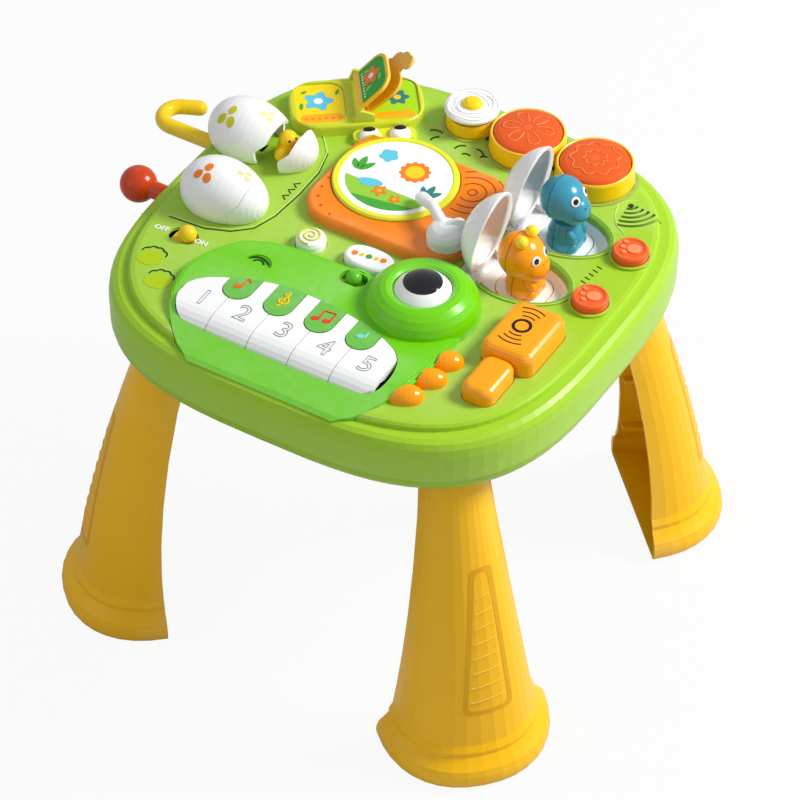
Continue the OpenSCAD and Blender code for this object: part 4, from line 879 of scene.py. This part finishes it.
for name in ("blue", "orange"):
    y, lid, dino = NEST_YS[name], f"{name}_lid", f"{name}_dino"
    n = 96
    rim = [(31 - 36.7 * math.cos(t), 27.7 * math.sin(t) * (1 + 0.1 * math.cos(t)))
           for t in (2 * math.pi * i / n for i in range(n))]
    wave = [(31 - (31.6 + 1.5 * math.sin(3 * t + 0.6)) * math.cos(t),
             (22.6 + 1.5 * math.sin(3 * t + 0.6)) * math.sin(t) * (1 + 0.1 * math.cos(t)))
            for t in (2 * math.pi * i / n for i in range(n))]
    lip = joined(f"{lid}_wavy_lip",
                 [start_outline("rim", [(px, py, 0.2) for px, py in rim]),
                  start_outline("wave", [(px, py, 0.9) for px, py in wave])])
    bpy.ops.object.mode_set(mode="EDIT")
    bpy.ops.mesh.select_all(action="SELECT")
    bpy.ops.mesh.bridge_edge_loops()
    bpy.ops.mesh.normals_make_consistent(inside=False)
    bpy.ops.object.mode_set(mode="OBJECT")
    m = lip.modifiers.new("thickness", "SOLIDIFY")
    m.thickness, m.offset = 1.3 * MM, 0
    b = lip.modifiers.new("soft_edge", "BEVEL")
    b.width, b.segments = 0.4 * MM, 2
    hang_on_lid(lip, y, shell_white, lid)

    half_egg = [((29.5 - LID_WALL) * math.sin(t) * (1 + 0.1 * math.cos(t)),
                 -(39 - LID_WALL) * math.cos(t)) for t in (math.pi * i / 24 for i in range(25))]
    liner = turned(f"{lid}_inside", half_egg, 64)
    lay_down = Matrix.Rotation(math.radians(90), 4, "Y")
    liner.data.transform(Matrix.Translation((31 * MM, 0, -9 * MM)) @ lay_down)
    bpy.ops.object.mode_set(mode="EDIT")
    bpy.ops.mesh.select_all(action="SELECT")
    bpy.ops.mesh.bisect(plane_co=(0, 0, 1.6 * MM), plane_no=(0, 0, 1), clear_inner=True)
    bpy.ops.mesh.select_all(action="SELECT")
    bpy.ops.mesh.bisect(plane_co=(13 * MM, 0, 0), plane_no=(1, 0.25, -0.15), clear_inner=True)
    bpy.ops.object.mode_set(mode="OBJECT")
    m = liner.modifiers.new("thickness", "SOLIDIFY")
    m.thickness, m.offset = 0.3 * MM, 1
    hang_on_lid(liner, y, painted_reflections[name], lid)

    skin, seam = (teal, seam_teal) if name == "blue" else (dino_orange, seam_orange)
    tray = superellipse(101, y, 20.6, 17.6, 2.5)
    floor_disc = filled(f"{name}_tray_floor", [(px, py, NEST_FLOOR_Z + 0.35) for px, py in tray], 0)
    floor_disc.location = at(0, 0, 0)
    m = floor_disc.modifiers.new("thickness", "SOLIDIFY")
    m.thickness, m.offset = 0.7 * MM, -1
    set_down(floor_disc, ivory, dino)

    head, r = ((98, y, 342.6), 17.4) if name == "blue" else ((98, y, 332.8), 17.8)
    snout, r2 = ((107.5, y, 336.5), 12.6) if name == "blue" else ((106.5, y, 327), 13.4)
    facing = (0.82, 0.40, 0.41) if name == "blue" else (0.89, 0.36, 0.27)
    for side in (-1, 1):
        way = (facing[0], side * facing[1], facing[2])
        spot_here = on_ball(head, r - 0.3, way)
        stud(f"{dino}_eye_white_{side + 2}", spot_here, way,
             [(3.9, 0), (3.8, 0.5), (3, 0.95), (1.6, 1.15), (0.02, 1.2)], arm_white, dino)
        ahead = on_ball(spot_here, 0.75, way)
        stud(f"{dino}_pupil_{side + 2}", ahead, (way[0] + 0.05, way[1], way[2]),
             [(2.5, 0), (2.4, 0.3), (1.6, 0.62), (0.02, 0.7)], gloss_black, dino)
        stud(f"{dino}_nostril_{side + 2}", on_ball(snout, r2 - 0.2, (0.9, side * 0.2, 0.5)),
             (0.9, side * 0.2, 0.5), [(0.9, 0), (0.7, 0.3), (0.02, 0.4)], seam, dino, 16)
    smile = []
    for a in range(-66, 67, 6):
        round_way, rise = math.radians(a), math.radians(-14 + 0.0042 * a * a)
        flat = (r2 + 0.05) * math.cos(rise)
        smile.append((snout[0] + flat * math.cos(round_way), snout[1] + flat * math.sin(round_way),
                      snout[2] + (r2 + 0.05) * math.sin(rise)))
    seam_x = head[0] - 4
    ring_r = math.sqrt(r * r - 16) + 0.05
    over = [(seam_x, y + ring_r * math.cos(math.radians(a)),
             head[2] + ring_r * math.sin(math.radians(a))) for a in range(-56, 237, 8)]
    side_line = ((2, 13.6), (8, 13.95), (14, 12.75), (19, 10.7))
    flank = [[(98, y + s * w, NEST_FLOOR_Z + h) for h, w in side_line] for s in (-1, 1)]
    lines = []
    for points in [smile, over] + flank:
        lines.append(start_outline("line", points, closed=False))
    marks = joined(f"{dino}_seam_and_smile", lines)
    marks.location = at(0, 0, 0)
    bpy.context.view_layer.objects.active = marks
    rounded_line(marks, 0.32, seam, dino)
for side in (-1, 1):
    stud(f"orange_dino_horn_{side + 2}", (102, NEST_YS["orange"] + side * 7, 350.2),
         (0, side * 0.25, 1),
         [(4.2, -1.5), (4.95, 0.4), (4.7, 2.6), (3.6, 4.4), (1.8, 5.5), (0.02, 5.8)],
         horn_yellow, "orange_dino")

# ---- Picture book and frog eyes ------------------------------------------------------
# A lime tray with a gold spine holds two stiff turning pages. Thin printed cards with
# plain flowers lie in the tray and on the front page; the frog's eyes peep out in front.

book_lime = plastic("book_lime_plastic", (204, 216, 44), gloss=0.28)
page_gold = plastic("page_gold_plastic", (250, 200, 6), gloss=0.3)
spine_gold = plastic("spine_gold_plastic", (244, 172, 0), gloss=0.28)
card_yellow = plastic("card_yellow_print", (254, 222, 4), gloss=0.45, edge_wear_sheen=0.0)
card_lime = plastic("card_lime_print", (170, 224, 14), gloss=0.45, edge_wear_sheen=0.0)
card_green = plastic("card_green_print", (40, 166, 56), gloss=0.45, edge_wear_sheen=0.0)
card_amber = plastic("card_amber_print", (252, 178, 10), gloss=0.45, edge_wear_sheen=0.0)
dress(book_lime, "book_base")
dress(page_gold, "front_page")
dress(plastic("tab_gold_plastic", (240, 178, 0), gloss=0.3), "tab_page")
BOOK_X, BOOK_Y, BOOK_TURN = -107, 118, 36.9
BOOK = dict(spot=(BOOK_X, BOOK_Y, 0), turn=BOOK_TURN)
TRAY_Z = 319.4  # the floor that the printed cards lie on


def rounded_panel(x0, y0, x1, y1, r):
    return (arc(x1 - r, y0 + r, r, -90, 0, 6) + arc(x1 - r, y1 - r, r, 0, 90, 6)
            + arc(x0 + r, y1 - r, r, 90, 180, 6) + arc(x0 + r, y0 + r, r, 180, 270, 6))


book_cards = [
    ("left_card", card_yellow, [rounded_panel(-47.2, -23.6, -9.6, 23.6, 9)], 0.2),
    ("left_strip", card_amber, [rounded_panel(-44, -22.4, -11, -12, 4)], 0.26),
    ("left_flower", print_colours["sky"], [wavy(-29, 4, 10, 5, 0.2)], 0.3),
    ("left_flower_middle", label_white, [oval(-29, 4, 3.6)], 0.36),
    ("left_sprigs", print_colours["green"],
     [leaf(-43, -6, 9, 3.4, 84), leaf(-15, 10, 8, 3, 70), leaf(-42, 14, 6, 3, 30)], 0.28),
    ("left_dots", print_colours["orange"],
     [oval(-40 + 5.2 * k, -17.4, 1.3, n=14) for k in range(6)], 0.34),
    ("right_card", card_lime, [rounded_panel(9.6, -23.6, 47.2, 23.6, 9)], 0.2),
    ("right_strip", card_amber, [rounded_panel(12, -22.4, 44, -13.6, 4)], 0.26),
    ("right_flower", print_colours["teal"], [wavy(32, 3, 8, 6, 0.18)], 0.3),
    ("right_flower_middle", print_colours["yellow"], [oval(32, 3, 2.8)], 0.36)]
for name, ink, shapes, thick in book_cards:
    inlay(f"book_{name}", shapes, thick, ink, "book_base", level=TRAY_Z, **BOOK)


def on_front_page(name, outlines, low, high, material):
    """A thin shape on the raised page: (outwards, along the spine) in mm from its hinge."""
    parts = [filled(name, [(u, v, high) for u, v in shape], 0) for shape in outlines]
    o = joined(name, parts)
    c, s = math.cos(math.radians(BOOK_TURN)), math.sin(math.radians(BOOK_TURN))
    o.location = at(BOOK_X + 2 * c, BOOK_Y + 2 * s, 328)
    o.rotation_euler = (0, math.radians(-46), math.radians(BOOK_TURN))
    m = o.modifiers.new("thickness", "SOLIDIFY")
    m.thickness, m.offset = (high - low) * MM, -1
    return set_down(o, material, "front_page")


panel = [(5, -19)] + arc(22, -10, 9, -90, 0, 6) + arc(22, 10, 9, 0, 90, 6) + [(5, 19)]
on_front_page("page_green_card", [panel], 2.2, 2.7, card_green)
on_front_page("page_flower", [wavy(17, 3, 7.6, 5, 0.24)], 2.6, 2.95, print_colours["orange"])
on_front_page("page_flower_middle", [oval(17, 3, 2.6)], 2.9, 3.1, label_white)
on_front_page("page_leaves",
              [leaf(9, -9, 8, 3, 20), leaf(24, -8, 7, 3, 70), leaf(10, 13, 7, 3, -20)], 2.6, 2.9,
              print_colours["lime"])
on_front_page("page_dots", [oval(8, -14 + 3.4 * k, 0.9, n=12) for k in range(9)], 2.6, 2.85,
              label_white)

frog_rim = plastic("frog_rim_plastic", (222, 228, 52), gloss=0.28)
dress(frog_rim, "frog_eyes")
for i, side in enumerate((-1, 1)):
    eye_white = turned(f"frog_eye_white_{i + 1}",
                       [(8, 1), (7.85, 3.1), (6.25, 5.2), (3.1, 6.15), (0.02, 6.25)], 40)
    beside_book = Matrix.Translation(((18.6 + 11.6 * side) * MM, -38 * MM, 0))
    eye_white.data.transform(Matrix.Rotation(math.radians(BOOK_TURN), 4, "Z") @ beside_book)
    if side < 0:  # the record plate's rounded corner takes a slice off this eye
        bpy.ops.object.mode_set(mode="EDIT")
        bpy.ops.mesh.select_all(action="SELECT")
        bpy.ops.mesh.bisect(plane_co=(31 * MM, -28.8 * MM, 0), plane_no=(-0.72, 0.694, 0),
                            clear_inner=True, use_fill=True)
        bpy.ops.object.mode_set(mode="OBJECT")
    eye_white.location = at(BOOK_X, BOOK_Y, 315)
    set_down(eye_white, label_white, "table")
    inlay(f"frog_pupil_{i + 1}", [oval(18.6 + 11.8 * side, -35.6, 4.6, 3, 0, 24)], 0.6, gloss_black,
          "frog_eyes", cuts=2, **BOOK)

# ---- Inner works -----------------------------------------------------------------------
# Inside the case: zinc-plated screws, battery cells and the keys' steel shaft, a green
# circuit board with rubber domes, and a small black loudspeaker.

steel = plastic("zinc_steel", (150, 150, 152), gloss=0.4, grain=0.5, coat=0.0)
dress(steel, "case_screws", "batteries", "key_shaft")
dress(plastic("solder_mask", (20, 80, 45), gloss=0.5), "circuit_board")
dress(plastic("speaker_black", (28, 28, 30), gloss=0.6), "speaker")
